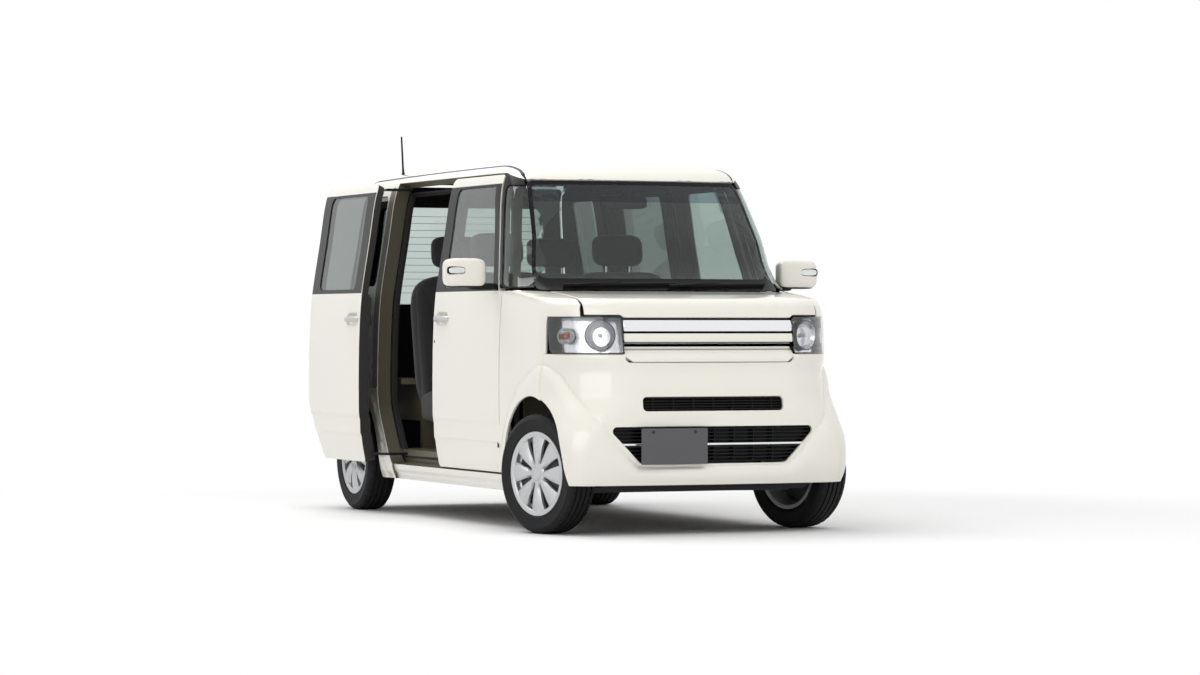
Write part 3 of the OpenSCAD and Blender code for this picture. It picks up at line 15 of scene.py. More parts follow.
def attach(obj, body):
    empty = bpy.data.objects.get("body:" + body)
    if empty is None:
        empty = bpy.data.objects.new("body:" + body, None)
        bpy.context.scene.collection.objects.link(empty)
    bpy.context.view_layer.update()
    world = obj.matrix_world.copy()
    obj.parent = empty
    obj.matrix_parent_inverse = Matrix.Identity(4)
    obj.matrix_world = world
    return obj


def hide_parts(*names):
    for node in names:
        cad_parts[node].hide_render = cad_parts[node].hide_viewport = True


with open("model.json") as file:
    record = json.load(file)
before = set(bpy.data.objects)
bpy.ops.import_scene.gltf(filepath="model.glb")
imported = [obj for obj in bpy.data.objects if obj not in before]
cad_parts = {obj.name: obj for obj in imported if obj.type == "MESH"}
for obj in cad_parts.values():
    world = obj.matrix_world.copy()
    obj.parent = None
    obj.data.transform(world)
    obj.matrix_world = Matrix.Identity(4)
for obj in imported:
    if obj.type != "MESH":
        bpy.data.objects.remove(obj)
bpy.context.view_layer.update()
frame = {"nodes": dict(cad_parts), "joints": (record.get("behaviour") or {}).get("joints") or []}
nodes = frame["nodes"]

# %% [markdown]
# The body is one smooth skin that the real panels share. It is given by level
# sections: each row says, at one height, how far the nose, the corners, the sides
# and the tail reach. Between the rows a monotone cubic carries every column, so
# the paint shows even reflections where the plain solids have flat facets.

# %% Sections of the body, in metres
ROOF_TOP = 1.783
COLUMNS = ("nose", "bow", "corner", "corner_r", "taper", "side", "tail", "tail_bow", "tail_corner", "tail_r")
SECTIONS = (
    (0.180, 1.630, 0.045, 0.650, 0.100, 1.10, 0.684, -1.655, 0.035, 0.655, 0.100),
    (0.230, 1.668, 0.050, 0.704, 0.105, 1.10, 0.700, -1.680, 0.038, 0.678, 0.110),
    (0.330, 1.693, 0.052, 0.731, 0.118, 1.10, 0.716, -1.695, 0.038, 0.690, 0.115),
    (0.430, 1.697, 0.052, 0.737, 0.150, 1.10, 0.721, -1.697, 0.038, 0.694, 0.118),
    (0.540, 1.692, 0.052, 0.735, 0.240, 1.10, 0.724, -1.695, 0.038, 0.696, 0.118),
    (0.660, 1.676, 0.052, 0.729, 0.330, 1.08, 0.725, -1.690, 0.038, 0.696, 0.118),
    (0.810, 1.642, 0.050, 0.719, 0.330, 1.06, 0.724, -1.683, 0.040, 0.694, 0.118),
    (1.000, 1.602, 0.050, 0.708, 0.285, 1.04, 0.718, -1.676, 0.044, 0.687, 0.120),
    (1.055, 1.586, 0.050, 0.701, 0.280, 1.03, 0.714, -1.673, 0.045, 0.684, 0.120),
    (1.087, 1.541, 0.052, 0.696, 0.275, 1.02, 0.711, -1.671, 0.046, 0.682, 0.120),
    (1.108, 1.390, 0.060, 0.690, 0.260, 1.00, 0.709, -1.669, 0.047, 0.680, 0.120),
    (1.130, 1.125, 0.090, 0.667, 0.081, 0.85, 0.706, -1.667, 0.048, 0.677, 0.120),
    (1.400, 0.938, 0.080, 0.631, 0.077, 0.65, 0.663, -1.648, 0.050, 0.634, 0.120),
    (1.640, 0.766, 0.066, 0.593, 0.077, 0.45, 0.622, -1.622, 0.050, 0.594, 0.118),
    (1.698, 0.716, 0.060, 0.566, 0.088, 0.415, 0.599, -1.601, 0.048, 0.571, 0.115),
    (1.735, 0.637, 0.057, 0.518, 0.122, 0.36, 0.553, -1.551, 0.045, 0.526, 0.112),
    (1.765, 0.450, 0.052, 0.408, 0.120, 0.18, 0.443, -1.415, 0.042, 0.418, 0.110),
    (1.780, 0.110, 0.040, 0.210, 0.110, -0.10, 0.240, -1.060, 0.040, 0.220, 0.100),
    (ROOF_TOP, -0.470, 0.030, 0.020, 0.010, -0.47, 0.025, -0.480, 0.030, 0.020, 0.010),
)


def monotone_cubic(at, values, where):
    """Values at new places, by a cubic through the given ones that never overshoots."""
    gap = np.diff(at)
    slope = np.diff(values) / gap
    tangent = np.zeros(len(at))
    same = slope[1:] * slope[:-1] > 0
    early, late = 2 * gap[1:] + gap[:-1], gap[1:] + 2 * gap[:-1]
    mean = (early + late) / (early / np.where(same, slope[:-1], 1) + late / np.where(same, slope[1:], 1))
    tangent[1:-1] = np.where(same, mean, 0)
    tangent[0], tangent[-1] = slope[0], slope[-1]
    k = np.clip(np.searchsorted(at, where) - 1, 0, len(gap) - 1)
    t = (where - at[k]) / gap[k]
    return (values[k] * (1 + 2 * t) * (1 - t) ** 2 + tangent[k] * gap[k] * t * (1 - t) ** 2
            + values[k + 1] * t * t * (3 - 2 * t) + tangent[k + 1] * gap[k] * t * t * (t - 1))


# The roof is a crown, so its sections are spaced by the root of the depth below it.
LEVEL_STEP = 0.00025
rows = np.array(SECTIONS)
levels = np.arange(rows[0, 0], ROOF_TOP, LEVEL_STEP)
depth_of_rows = -np.sqrt(ROOF_TOP - rows[:, 0])
depth_of_levels = -np.sqrt(ROOF_TOP - levels)
LEVEL_TABLE = np.array([monotone_cubic(depth_of_rows, rows[:, c + 1], depth_of_levels)
                        for c in range(len(COLUMNS))])
print("sections", rows.shape, "levels", LEVEL_TABLE.shape)

# %% [markdown]
# On the real car the skin is only metal, but here we must be able to ask it questions.
# One could build a mesh and search it; a formula is exact and quick. It tells how far
# a point lies past the nearest wall, and a ray is halved until it meets that wall.

# %% Which side of the skin a point lies on
def columns_at(z):
    """Every column of the section at height z, as a dictionary of arrays."""
    t = np.clip((z - rows[0, 0]) / LEVEL_STEP, 0, LEVEL_TABLE.shape[1] - 1.001)
    k = t.astype(int)
    part = t - k
    mixed = LEVEL_TABLE[:, k] * (1 - part) + LEVEL_TABLE[:, k + 1] * part
    return dict(zip(COLUMNS, mixed))


def round_corner(a, b, r):
    """Two walls met by an arc of radius r; a and b are the distances past them."""
    u, v = a + r, b + r
    both = (u > 0) & (v > 0)
    return np.where(both, np.hypot(u, v) - r, np.maximum(a, b))


def past_skin(p):
    """How far the points lie past the skin, below zero inside it."""
    x, y, z = p[:, 0], np.abs(p[:, 1]), p[:, 2]
    c = columns_at(z)
    nose_x, tail_x = c["nose"] - c["bow"], c["tail"] + c["tail_bow"]
    front = x - (c["nose"] - c["bow"] * (y / c["corner"]) ** 2)
    back = c["tail"] + c["tail_bow"] * (y / c["tail_corner"]) ** 2 - x
    ahead = np.clip((x - c["taper"]) / np.maximum(nose_x - c["taper"], 0.01), 0, 1.5)
    behind = np.clip((c["taper"] - x) / np.maximum(c["taper"] - tail_x, 0.01), 0, 1.5)
    flank = y - (c["side"] - (c["side"] - c["corner"]) * ahead ** 2
                 - (c["side"] - c["tail_corner"]) * behind ** 2)
    nose = round_corner(front, flank, c["corner_r"])
    tail = round_corner(back, flank, c["tail_r"])
    gap = np.where(x > 0, nose, tail)
    return np.where(z >= ROOF_TOP, 1.0, gap)


def cast(start, toward, far=1.6):
    """Where rays from inside the car leave its skin, by halving."""
    low, high = np.zeros(len(start)), np.full(len(start), far)
    for _ in range(24):
        middle = (low + high) / 2
        out = past_skin(start + toward * middle[:, None]) > 0
        high = np.where(out, middle, high)
        low = np.where(out, low, middle)
    return start + toward * low[:, None]


print("nose at 0.42 m:", cast(np.array([[1.0, 0, 0.42]]), np.array([[1.0, 0, 0]])))

# %% [markdown]
# A panel is an outline on that skin. Each outline is drawn in a chart: side view for
# doors, front view bent round the corner for the bumper, an arc over the nose for the
# bonnet. A chart only says where its rays start and which way they go, and both are
# easy to think about, so every panel of the car shares one maker.

# %% Charts
WRAP_R = 0.70
WRAP_FRONT_X = 1.05
WRAP_REAR_X = -1.10
HOOD_AXIS = (1.25, 0.86)
HOOD_R = 0.30
SHOULDER_AXIS = (0.42, 0.90)
SHOULDER_R = 0.30
RAIL_Z, RAIL_Y, RAIL_R = 1.692, 0.42, 0.18
PILLAR_X, PILLAR_Y, PILLAR_Z, PILLAR_LEAN, PILLAR_R = 0.62, 0.30, 1.13, 0.55, 0.40
LID_START_Z, PANE_START_X, BACK_START_X, ROOF_START_Z = 0.80, 0.20, -1.20, 1.45


def stack(*parts):
    """Rows of x, y and z from numbers or columns."""
    return np.stack(np.broadcast_arrays(*parts), axis=1).astype(float)


def side_rays(u, v):
    """u is X and v is Z up to the door tops; above them the rays turn up over the roof's rail."""
    a = np.clip((v - RAIL_Z) / RAIL_R, 0, None)
    return stack(u, RAIL_Y, np.minimum(v, RAIL_Z)), stack(0 * u, np.cos(a), np.sin(a))


def front_rays(u, v):
    """u is an angle times WRAP_R from straight ahead and v is Z."""
    a = u / WRAP_R
    return stack(WRAP_FRONT_X, 0, v), stack(np.cos(a), np.sin(a), 0 * a)


def rear_rays(u, v):
    """u is an angle times WRAP_R from straight back and v is Z."""
    a = u / WRAP_R
    return stack(WRAP_REAR_X, 0, v), stack(-np.cos(a), np.sin(a), 0 * a)


def hood_rays(u, v):
    """u is an angle times HOOD_R up from straight ahead and v is Y."""
    a = u / HOOD_R
    return stack(HOOD_AXIS[0], v, HOOD_AXIS[1]), stack(np.cos(a), 0 * a, np.sin(a))


def shoulder_rays(u, v):
    """u is X and v is an angle times SHOULDER_R up from straight out to the left."""
    a = v / SHOULDER_R
    return stack(u, SHOULDER_AXIS[0], SHOULDER_AXIS[1]), stack(0 * a, np.cos(a), np.sin(a))


def pillar_rays(u, v):
    """u is an angle times PILLAR_R from straight ahead, round an axis that leans with the windscreen."""
    a = u / PILLAR_R
    return stack(PILLAR_X - (v - PILLAR_Z) * PILLAR_LEAN, PILLAR_Y, v), stack(np.cos(a), np.sin(a), 0 * a)


def lid_rays(u, v):
    """u is X and v is Y; the rays run up from below the bonnet."""
    return stack(u, v, LID_START_Z), stack(0 * u, 0, 1)


def pane_rays(u, v):
    """u is Y and v is Z; the rays run forward, for the windscreen."""
    return stack(PANE_START_X, u, v), stack(1, 0 * u, 0)


def back_rays(u, v):
    """u is Y and v is Z; the rays run back, for the tailgate."""
    return stack(BACK_START_X, u, v), stack(-1, 0 * u, 0)


def roof_rays(u, v):
    """u is X and v is Y; the rays run up."""
    return stack(u, v, ROOF_START_Z), stack(0 * u, 0, 1)


def surface(chart, u, v, relief=None):
    """Points of the skin on a chart, moved along its rays by the relief."""
    start, toward = chart(np.asarray(u, float), np.asarray(v, float))
    p = cast(start, toward)
    if relief is not None:
        p = p + toward * relief(p)[:, None]
    return p


def surface_with_normals(chart, u, v, relief=None, eps=0.0008):
    """Points of the skin on a chart and the directions that stand square on it."""
    p = surface(chart, u, v, relief)
    du = surface(chart, u + eps, v, relief) - surface(chart, u - eps, v, relief)
    dv = surface(chart, u, v + eps, relief) - surface(chart, u, v - eps, relief)
    n = np.cross(du, dv)
    n /= np.linalg.norm(n, axis=1)[:, None] + 1e-12
    _, toward = chart(np.asarray(u, float), np.asarray(v, float))
    n *= np.sign((n * toward).sum(1))[:, None]
    return p, n


def points_on(chart, pairs):
    """Points of the skin for a list of u, v pairs of one chart."""
    pairs = np.array(pairs, float)
    return surface(chart, pairs[:, 0], pairs[:, 1])


def seen_in(chart, p):
    """The u, v pairs of another chart for points of the skin."""
    x, y, z = p[:, 0], p[:, 1], p[:, 2]
    if chart is front_rays:
        return np.stack([np.arctan2(y, x - WRAP_FRONT_X) * WRAP_R, z], 1)
    if chart is rear_rays:
        return np.stack([np.arctan2(y, WRAP_REAR_X - x) * WRAP_R, z], 1)
    if chart is hood_rays:
        return np.stack([np.arctan2(z - HOOD_AXIS[1], x - HOOD_AXIS[0]) * HOOD_R, y], 1)
    if chart is shoulder_rays:
        return np.stack([x, np.arctan2(z - SHOULDER_AXIS[1], y - SHOULDER_AXIS[0]) * SHOULDER_R], 1)
    if chart is pillar_rays:
        ahead = x - PILLAR_X + (z - PILLAR_Z) * PILLAR_LEAN
        return np.stack([np.arctan2(y - PILLAR_Y, ahead) * PILLAR_R, z], 1)
    if chart is roof_rays:
        return np.stack([x, y], 1)
    if chart in (pane_rays, back_rays):
        return np.stack([y, z], 1)
    turned = RAIL_Z + np.arctan2(z - RAIL_Z, y - RAIL_Y) * RAIL_R
    return np.stack([x, np.where(z > RAIL_Z, turned, z)], 1)


print("side of the car at 1 m:", points_on(side_rays, [(0, 1.0)]).round(3).tolist())

# %% [markdown]
# Real sheets are cut with round corners, since a sharp one would tear in the press. An
# outline is a short list of corners, each with its radius, and the arcs are worked out.
# Bevelling a finished mesh would also round them, but then gaps would not stay even.

# %% Outlines with round corners
ARC_STEP = 0.16


def rounded(corners):
    """A closed outline; each corner is across, up and, where it is round, its radius."""
    points = []
    for k, corner in enumerate(corners):
        p = np.array(corner[:2], float)
        a = np.array(corners[k - 1][:2], float) - p
        b = np.array(corners[(k + 1) % len(corners)][:2], float) - p
        r = corner[2] if len(corner) > 2 else 0
        room = 0.49 * min(np.linalg.norm(a), np.linalg.norm(b))
        a, b = a / np.linalg.norm(a), b / np.linalg.norm(b)
        half = math.acos(np.clip(a @ b, -1, 1)) / 2
        if r <= 0 or half > 1.55:
            points.append(p)
            continue
        cut = min(r / math.tan(half), room)
        r = cut * math.tan(half)
        c = p + (a + b) / np.linalg.norm(a + b) * r / math.sin(half)
        s, e = p + a * cut - c, p + b * cut - c
        turn = math.atan2(s[0] * e[1] - s[1] * e[0], s @ e)
        steps = max(2, math.ceil(abs(turn) / ARC_STEP))
        for t in np.linspace(0, turn, steps + 1):
            points.append(c + np.array([s[0] * math.cos(t) - s[1] * math.sin(t),
                                        s[0] * math.sin(t) + s[1] * math.cos(t)]))
    return np.array(points)


def grown(corners, g):
    """The same corners moved out by g, for corners that run anticlockwise."""
    out = []
    for k, corner in enumerate(corners):
        p = np.array(corner[:2], float)
        a = p - np.array(corners[k - 1][:2], float)
        b = np.array(corners[(k + 1) % len(corners)][:2], float) - p
        m = np.array([a[1], -a[0]]) / np.linalg.norm(a)
        n = np.array([b[1], -b[0]]) / np.linalg.norm(b)
        at = p + g * (m + n) / (1 + m @ n)
        r = corner[2] if len(corner) > 2 else 0
        convex = a[0] * b[1] - a[1] * b[0] > 0
        out.append((at[0], at[1], max(0, r + (g if convex else -g)) if r > 0 else 0))
    return out


def spaced(loop, step):
    """A closed outline with extra points, so that no edge is longer than step."""
    points = []
    for k in range(len(loop)):
        a, b = loop[k], loop[(k + 1) % len(loop)]
        count = max(1, math.ceil(np.linalg.norm(b - a) / step))
        points += [a + (b - a) * j / count for j in range(count)]
    return np.array(points)


def within(points, loop):
    """Which points lie inside a closed outline."""
    x, y = points[:, 0][:, None], points[:, 1][:, None]
    a, b = loop, np.roll(loop, -1, axis=0)
    crosses = (a[:, 1] > y) != (b[:, 1] > y)
    rise = np.where(b[:, 1] == a[:, 1], 1e-12, b[:, 1] - a[:, 1])
    return (crosses & (x < a[:, 0] + (y - a[:, 1]) * (b[:, 0] - a[:, 0]) / rise)).sum(1) % 2 == 1


def distance_to(points, loop, closed=True):
    """How far the points lie from an outline or, if it is not closed, a line."""
    a = loop if closed else loop[:-1]
    b = np.roll(loop, -1, axis=0) if closed else loop[1:]
    d = b - a
    t = ((points[:, None, :] - a) * d).sum(2) / np.maximum((d * d).sum(1), 1e-12)
    near = a + d * np.clip(t, 0, 1)[:, :, None]
    return np.linalg.norm(points[:, None, :] - near, axis=2).min(1)


UNIT_SQUARE = [(0, 0, 0.1), (1, 0, 0.1), (1, 1, 0.1), (0, 1, 0.1)]
print("a rounded square has", len(rounded(UNIT_SQUARE)), "points")

# %% [markdown]
# Every piece ends as points and faces. Operators such as extrude depend on what is
# selected; arrays from numpy do not, so we hand them to Blender in one go and add the
# finish and the body that the piece rides on.

# %% Meshes from plain arrays
SHARP = math.radians(38)


def new_object(name, verts, faces, mats, body, normals=None, face_mats=None):
    """A mesh object that rides on a body."""
    mesh = bpy.data.meshes.new(name)
    mesh.from_pydata(np.asarray(verts, float).tolist(), [], [list(map(int, f)) for f in faces])
    for m in mats:
        mesh.materials.append(m)
    mesh.polygons.foreach_set("use_smooth", np.ones(len(mesh.polygons), bool))
    if face_mats is not None:
        mesh.polygons.foreach_set("material_index", np.asarray(face_mats, np.int32))
    if mesh.validate():
        print(name, "had faces that were put right")
    mesh.update()
    if normals is not None:
        mesh.normals_split_custom_set_from_vertices(np.asarray(normals, float).tolist())
    else:
        mesh.set_sharp_from_angle(angle=SHARP)
    obj = bpy.data.objects.new(name, mesh)
    bpy.context.scene.collection.objects.link(obj)
    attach(obj, body)
    return obj


def boundary_loops(tris):
    """The edges that only one triangle has, chained into loops."""
    edges = {(t[k], t[(k + 1) % 3]) for t in tris for k in range(3)}
    follow = {}
    for a, b in edges:
        if (b, a) not in edges:
            follow.setdefault(a, []).append(b)
    loops = []
    while follow:
        loop, at = [], next(iter(follow))
        while at in follow:
            loop.append(at)
            onward = follow[at].pop()
            if not follow[at]:
                del follow[at]
            at = onward
        loops.append(loop)
    return loops


print("rim of one triangle:", boundary_loops([(0, 1, 2)]))

# %% [markdown]
# A pressed panel is a sheet cut along an outline, with rolled edges and some depth. A
# subdivided plane with a Shrinkwrap modifier could do it, but its border would be
# ragged. Here the outline is filled with an even grid, laid on the skin, and given an
# inner face and a rolled rim, so that all gaps between panels are as wide as planned.

# %% The panel maker
def spaced_line(line, step):
    """An open line with extra points along it."""
    line = np.asarray(line, float)
    points = [line[0]]
    for a, b in zip(line[:-1], line[1:]):
        count = max(1, math.ceil(np.linalg.norm(b - a) / step))
        points += [a + (b - a) * j / count for j in range(1, count + 1)]
    return np.array(points)


def grid_points(low, high, step):
    """A staggered grid over a rectangle."""
    across, up = np.meshgrid(np.arange(low[0], high[0], step), np.arange(low[1], high[1], step * 0.87))
    across[1::2] += step / 2
    return np.stack([across.ravel(), up.ravel()], 1)


def fill(outer, holes, step, extra=(), fine=()):
    """Triangles over an outline with holes: points on a grid, joined by Delaunay's rule."""
    loops = [spaced(outer, step)] + [spaced(h, step) for h in holes]
    grid = grid_points(loops[0].min(0), loops[0].max(0), step)
    for low, high, closer in fine:
        inside = ((grid > np.array(low)) & (grid < np.array(high))).all(1)
        grid = np.vstack([grid[~inside], grid_points(low, high, closer)])
    keep = within(grid, loops[0])
    for h in loops[1:]:
        keep &= ~within(grid, h)
    grid = grid[keep]
    lines = loops + [spaced_line(line, step) for line in extra]
    for k, line in enumerate(lines):
        grid = grid[distance_to(grid, line, k < len(loops)) > step * 0.4]
    points, edges = list(grid), []
    for k, line in enumerate(lines):
        first = len(points)
        points += list(line)
        count = len(line) if k < len(loops) else len(line) - 1
        edges += [(first + j, first + (j + 1) % len(line)) for j in range(count)]
    found = delaunay_2d_cdt([Vector(p) for p in points], edges, [], 0, 1e-7, False)
    flat = np.array([tuple(p) for p in found[0]])
    tris = np.array([tuple(f) for f in found[2]], int)
    centre = flat[tris].mean(1)
    keep = within(centre, loops[0])
    for h in loops[1:]:
        keep &= ~within(centre, h)
    tris = tris[keep]
    used = np.unique(tris)
    place = np.full(len(flat), -1)
    place[used] = np.arange(len(used))
    return flat[used], place[tris]


def panel(name, chart, outer, mats, body, holes=(), thick=0.006, sink=0.0, relief=None, step=0.022,
          edge=0.0025, zones=(), fine=(), inner_mat=0, rim_mat=0, hole_mat=None, seam=None, right=False,
          shift=(0, 0, 0)):
    """A sheet on the skin with rolled edges.

    Zones are outlines that take another material. A seam tells where the edge isn't rolled,
    because another sheet goes on there without a gap.
    """
    flat, tris = fill(outer, holes, step, [np.vstack([z, z[:1]]) for z, _ in zones], fine)
    p, n = surface_with_normals(chart, flat[:, 0], flat[:, 1], relief)
    facing = (np.cross(p[tris[:, 1]] - p[tris[:, 0]], p[tris[:, 2]] - p[tris[:, 0]]) * n[tris[:, 0]]).sum(1)
    tris = tris[:, ::-1] if facing.sum() < 0 else tris
    p = p - n * sink
    depth = thick(flat) if callable(thick) else np.full(len(p), thick)
    inner = p - n * depth[:, None]
    verts, normals = [p.copy(), inner], [n, -n]
    faces = [list(t) for t in tris] + [[int(i) + len(p) for i in t[::-1]] for t in tris]
    centre = flat[tris].mean(1)
    face_mat = np.zeros(len(tris), int)
    for outline, index in zones:
        face_mat[within(centre, outline)] = index
    marks = list(face_mat) + [inner_mat] * len(tris)
    used = len(p) * 2
    loops = boundary_loops(tris.tolist())
    longest = max(range(len(loops)), key=lambda k: np.ptp(flat[loops[k]], axis=0).sum())
    for k, loop in enumerate(loops):
        at = np.array(loop)
        tangent = np.roll(p[at], -1, axis=0) - np.roll(p[at], 1, axis=0)
        out = np.cross(tangent, n[at])
        out /= np.linalg.norm(out, axis=1)[:, None] + 1e-12
        roll = np.minimum(edge, depth[at] * 0.45)
        if seam is not None:
            roll = roll * ~seam(p[at])
        roll = roll[:, None]
        verts[0][at] = p[at] - out * roll
        half = math.sqrt(0.5)
        rings = [(p[at] - out * roll * (1 - half) - n[at] * roll * (1 - half), (out + n[at]) * half),
                 (p[at] - n[at] * roll, out), (inner[at], out)]
        count, before = len(at), at
        mark = rim_mat if k == longest or hole_mat is None else hole_mat
        for turn, (place, normal) in enumerate(rings):
            verts.append(place)
            normals.append(normal)
            now = used + np.arange(count)
            follow = np.roll(np.arange(count), -1)
            faces += np.stack([before[follow], before, now, now[follow]], 1).tolist()
            marks += [mark if turn == 2 or mark == hole_mat else 0] * count
            before = now
            used += count
    verts, normals = np.vstack(verts), np.vstack(normals)
    if right:
        verts[:, 1] *= -1
        normals[:, 1] *= -1
        faces = [f[::-1] for f in faces]
    return new_object(name, verts + np.array(shift), faces, mats, body, normals, marks)


print("a square filled on a coarse grid:", len(fill(rounded(UNIT_SQUARE), [], 0.25)[1]), "triangles")

# %% [markdown]
# Finishes come next. Two effects return in many of them, so each is a node group:
# one gives the fine grain of a moulded or sprayed surface as a normal, the other lets
# a colour drift a little, as paint, rubber and cloth do. The shader itself stays in
# the material, where its plain numbers sit on its own sockets.

# %% Node groups for grain and colour drift
def socket(tree, label, kind, direction, value=None):
    """One named input or output of a node group."""
    made = tree.interface.new_socket(name=label, in_out=direction, socket_type=kind)
    if value is not None:
        made.default_value = value
    return made


def grain_group():
    """Noise in metres turned into a bumped normal."""
    tree = bpy.data.node_groups.new("surface_grain", "ShaderNodeTree")
    socket(tree, "Grains per metre", "NodeSocketFloat", "INPUT", 400)
    socket(tree, "Strength", "NodeSocketFloat", "INPUT", 0.1)
    socket(tree, "Normal", "NodeSocketVector", "OUTPUT")
    new, link = tree.nodes.new, tree.links.new
    given, out = new("NodeGroupInput"), new("NodeGroupOutput")
    place, noise, bump = new("ShaderNodeTexCoord"), new("ShaderNodeTexNoise"), new("ShaderNodeBump")
    noise.inputs["Detail"].default_value = 2
    bump.inputs["Distance"].default_value = 0.001
    link(place.outputs["Object"], noise.inputs["Vector"])
    link(given.outputs["Grains per metre"], noise.inputs["Scale"])
    link(given.outputs["Strength"], bump.inputs["Strength"])
    link(noise.outputs["Fac"], bump.inputs["Height"])
    link(bump.outputs["Normal"], out.inputs["Normal"])
    return tree


def drift_group():
    """One colour that goes a little lighter and darker over the surface."""
    tree = bpy.data.node_groups.new("colour_drift", "ShaderNodeTree")
    socket(tree, "Colour", "NodeSocketColor", "INPUT", (0.5, 0.5, 0.5, 1))
    socket(tree, "Patches per metre", "NodeSocketFloat", "INPUT", 3)
    socket(tree, "Amount", "NodeSocketFloat", "INPUT", 0.05)
    socket(tree, "Colour", "NodeSocketColor", "OUTPUT")
    new, link = tree.nodes.new, tree.links.new
    given, out = new("NodeGroupInput"), new("NodeGroupOutput")
    place, noise = new("ShaderNodeTexCoord"), new("ShaderNodeTexNoise")
    spread, shade = new("ShaderNodeMath"), new("ShaderNodeHueSaturation")
    spread.operation = "MULTIPLY_ADD"
    centre = new("ShaderNodeMath")
    centre.operation = "SUBTRACT"
    centre.inputs[1].default_value = 0.5
    spread.inputs[2].default_value = 1
    noise.inputs["Detail"].default_value = 4
    link(place.outputs["Object"], noise.inputs["Vector"])
    link(given.outputs["Patches per metre"], noise.inputs["Scale"])
    link(noise.outputs["Fac"], centre.inputs[0])
    link(centre.outputs["Value"], spread.inputs[0])
    link(given.outputs["Amount"], spread.inputs[1])
    link(spread.outputs["Value"], shade.inputs["Value"])
    link(given.outputs["Colour"], shade.inputs["Color"])
    link(shade.outputs["Color"], out.inputs["Colour"])
    return tree


GRAIN, DRIFT = grain_group(), drift_group()
print("groups", [g.name for g in bpy.data.node_groups])

# %% [markdown]
# A finish is one Principled BSDF with plain values, and the two groups above add grain
# and drift where the real surface has them. One maker keeps all materials alike.

# %% A maker for finishes
def finish(name, colour, rough, grain=(500, 0.05), drift=(3, 0.06), **plain):
    """A Principled finish with grain and drift; plain names set its own sockets."""
    mat = bpy.data.materials.new(name)
    mat.use_nodes = True
    tree = mat.node_tree
    shader = tree.nodes["Principled BSDF"]
    shader.inputs["Base Color"].default_value = (*colour, 1)
    shader.inputs["Roughness"].default_value = rough
    for label, value in plain.items():
        shader.inputs[label.replace("_", " ")].default_value = value
    if drift:
        tone = tree.nodes.new("ShaderNodeGroup")
        tone.node_tree = DRIFT
        tone.inputs["Colour"].default_value = (*colour, 1)
        tone.inputs["Patches per metre"].default_value = drift[0]
        tone.inputs["Amount"].default_value = drift[1]
        tree.links.new(tone.outputs["Colour"], shader.inputs["Base Color"])
    if grain:
        bump = tree.nodes.new("ShaderNodeGroup")
        bump.node_tree = GRAIN
        bump.inputs["Grains per metre"].default_value = grain[0]
        bump.inputs["Strength"].default_value = grain[1]
        tree.links.new(bump.outputs["Normal"], shader.inputs["Normal"])
    mat.diffuse_color = (*colour, 1)
    return mat


CREAM = (0.82, 0.795, 0.715)
paint = finish("cream_paint", CREAM, 0.42, (900, 0.012), (1.3, 0.03), Coat_Weight=1.0, Coat_Roughness=0.04)
inner_paint = finish("olive_inner_paint", (0.115, 0.105, 0.07), 0.42, (700, 0.03), (2, 0.12))
gloss_black = finish("gloss_black", (0.008, 0.008, 0.009), 0.20, (600, 0.01), (3, 0.2),
                     Specular_IOR_Level=0.12)
trim_black = finish("moulded_black", (0.013, 0.013, 0.014), 0.55, (1500, 0.12), (4, 0.2),
                    Specular_IOR_Level=0.15)
lining = finish("headlining", (0.040, 0.039, 0.037), 0.9, (1800, 0.3), (6, 0.15), Specular_IOR_Level=0.2)
rubber = finish("rubber", (0.010, 0.010, 0.010), 0.72, (900, 0.10), (6, 0.25), Specular_IOR_Level=0.3)
chrome = finish("bright_plating", (0.83, 0.84, 0.86), 0.09, None, (2, 0.03), Metallic=1.0)
silver = finish("silver_lacquer", (0.55, 0.555, 0.565), 0.46, (1800, 0.03), (5, 0.05), Metallic=0.8)
dark_metal = finish("dark_steel", (0.05, 0.05, 0.052), 0.5, (900, 0.10), (4, 0.2), Metallic=0.6)
clear_glass = finish("green_glass", (0.54, 0.62, 0.59), 0.0, None, None, Transmission_Weight=1.0, IOR=1.45)
shade_glass = finish("shade_band_glass", (0.16, 0.22, 0.27), 0.0, None, None, Transmission_Weight=1.0,
                     IOR=1.45)
dark_glass = finish("dark_glass", (0.17, 0.20, 0.19), 0.0, None, None, Transmission_Weight=1.0, IOR=1.45)
lamp_glass = finish("lamp_cover", (0.96, 0.97, 0.98), 0.0, None, None, Transmission_Weight=1.0, IOR=1.45)
red_glass = finish("ruby_lens", (0.42, 0.008, 0.010), 0.12, (300, 0.02), (5, 0.1), Coat_Weight=1.0)
amber = finish("amber_lamp", (0.62, 0.20, 0.03), 0.25, (300, 0.05), (8, 0.1))
lamp_silver = finish("lamp_housing", (0.72, 0.73, 0.75), 0.20, (110, 0.55), (40, 0.30), Metallic=1.0)
reflector = finish("lamp_reflector", (0.62, 0.63, 0.65), 0.10, (150, 1.0), (60, 0.45), Metallic=1.0)
plate_grey = finish("blank_plate", (0.085, 0.085, 0.09), 0.5, (400, 0.05), (4, 0.15))
cloth = finish("dark_cloth", (0.022, 0.021, 0.022), 0.9, (2600, 0.5), (9, 0.35), Sheen_Weight=0.2)
print("finishes", len(bpy.data.materials))

# %% [markdown]
# Now the outlines of the panels. They repeat the lines where the real panels meet:
# doors, wings, bonnet and bumper share their edges with a gap between them, so the
# dark lines of the car come from real gaps and not from painted strokes.

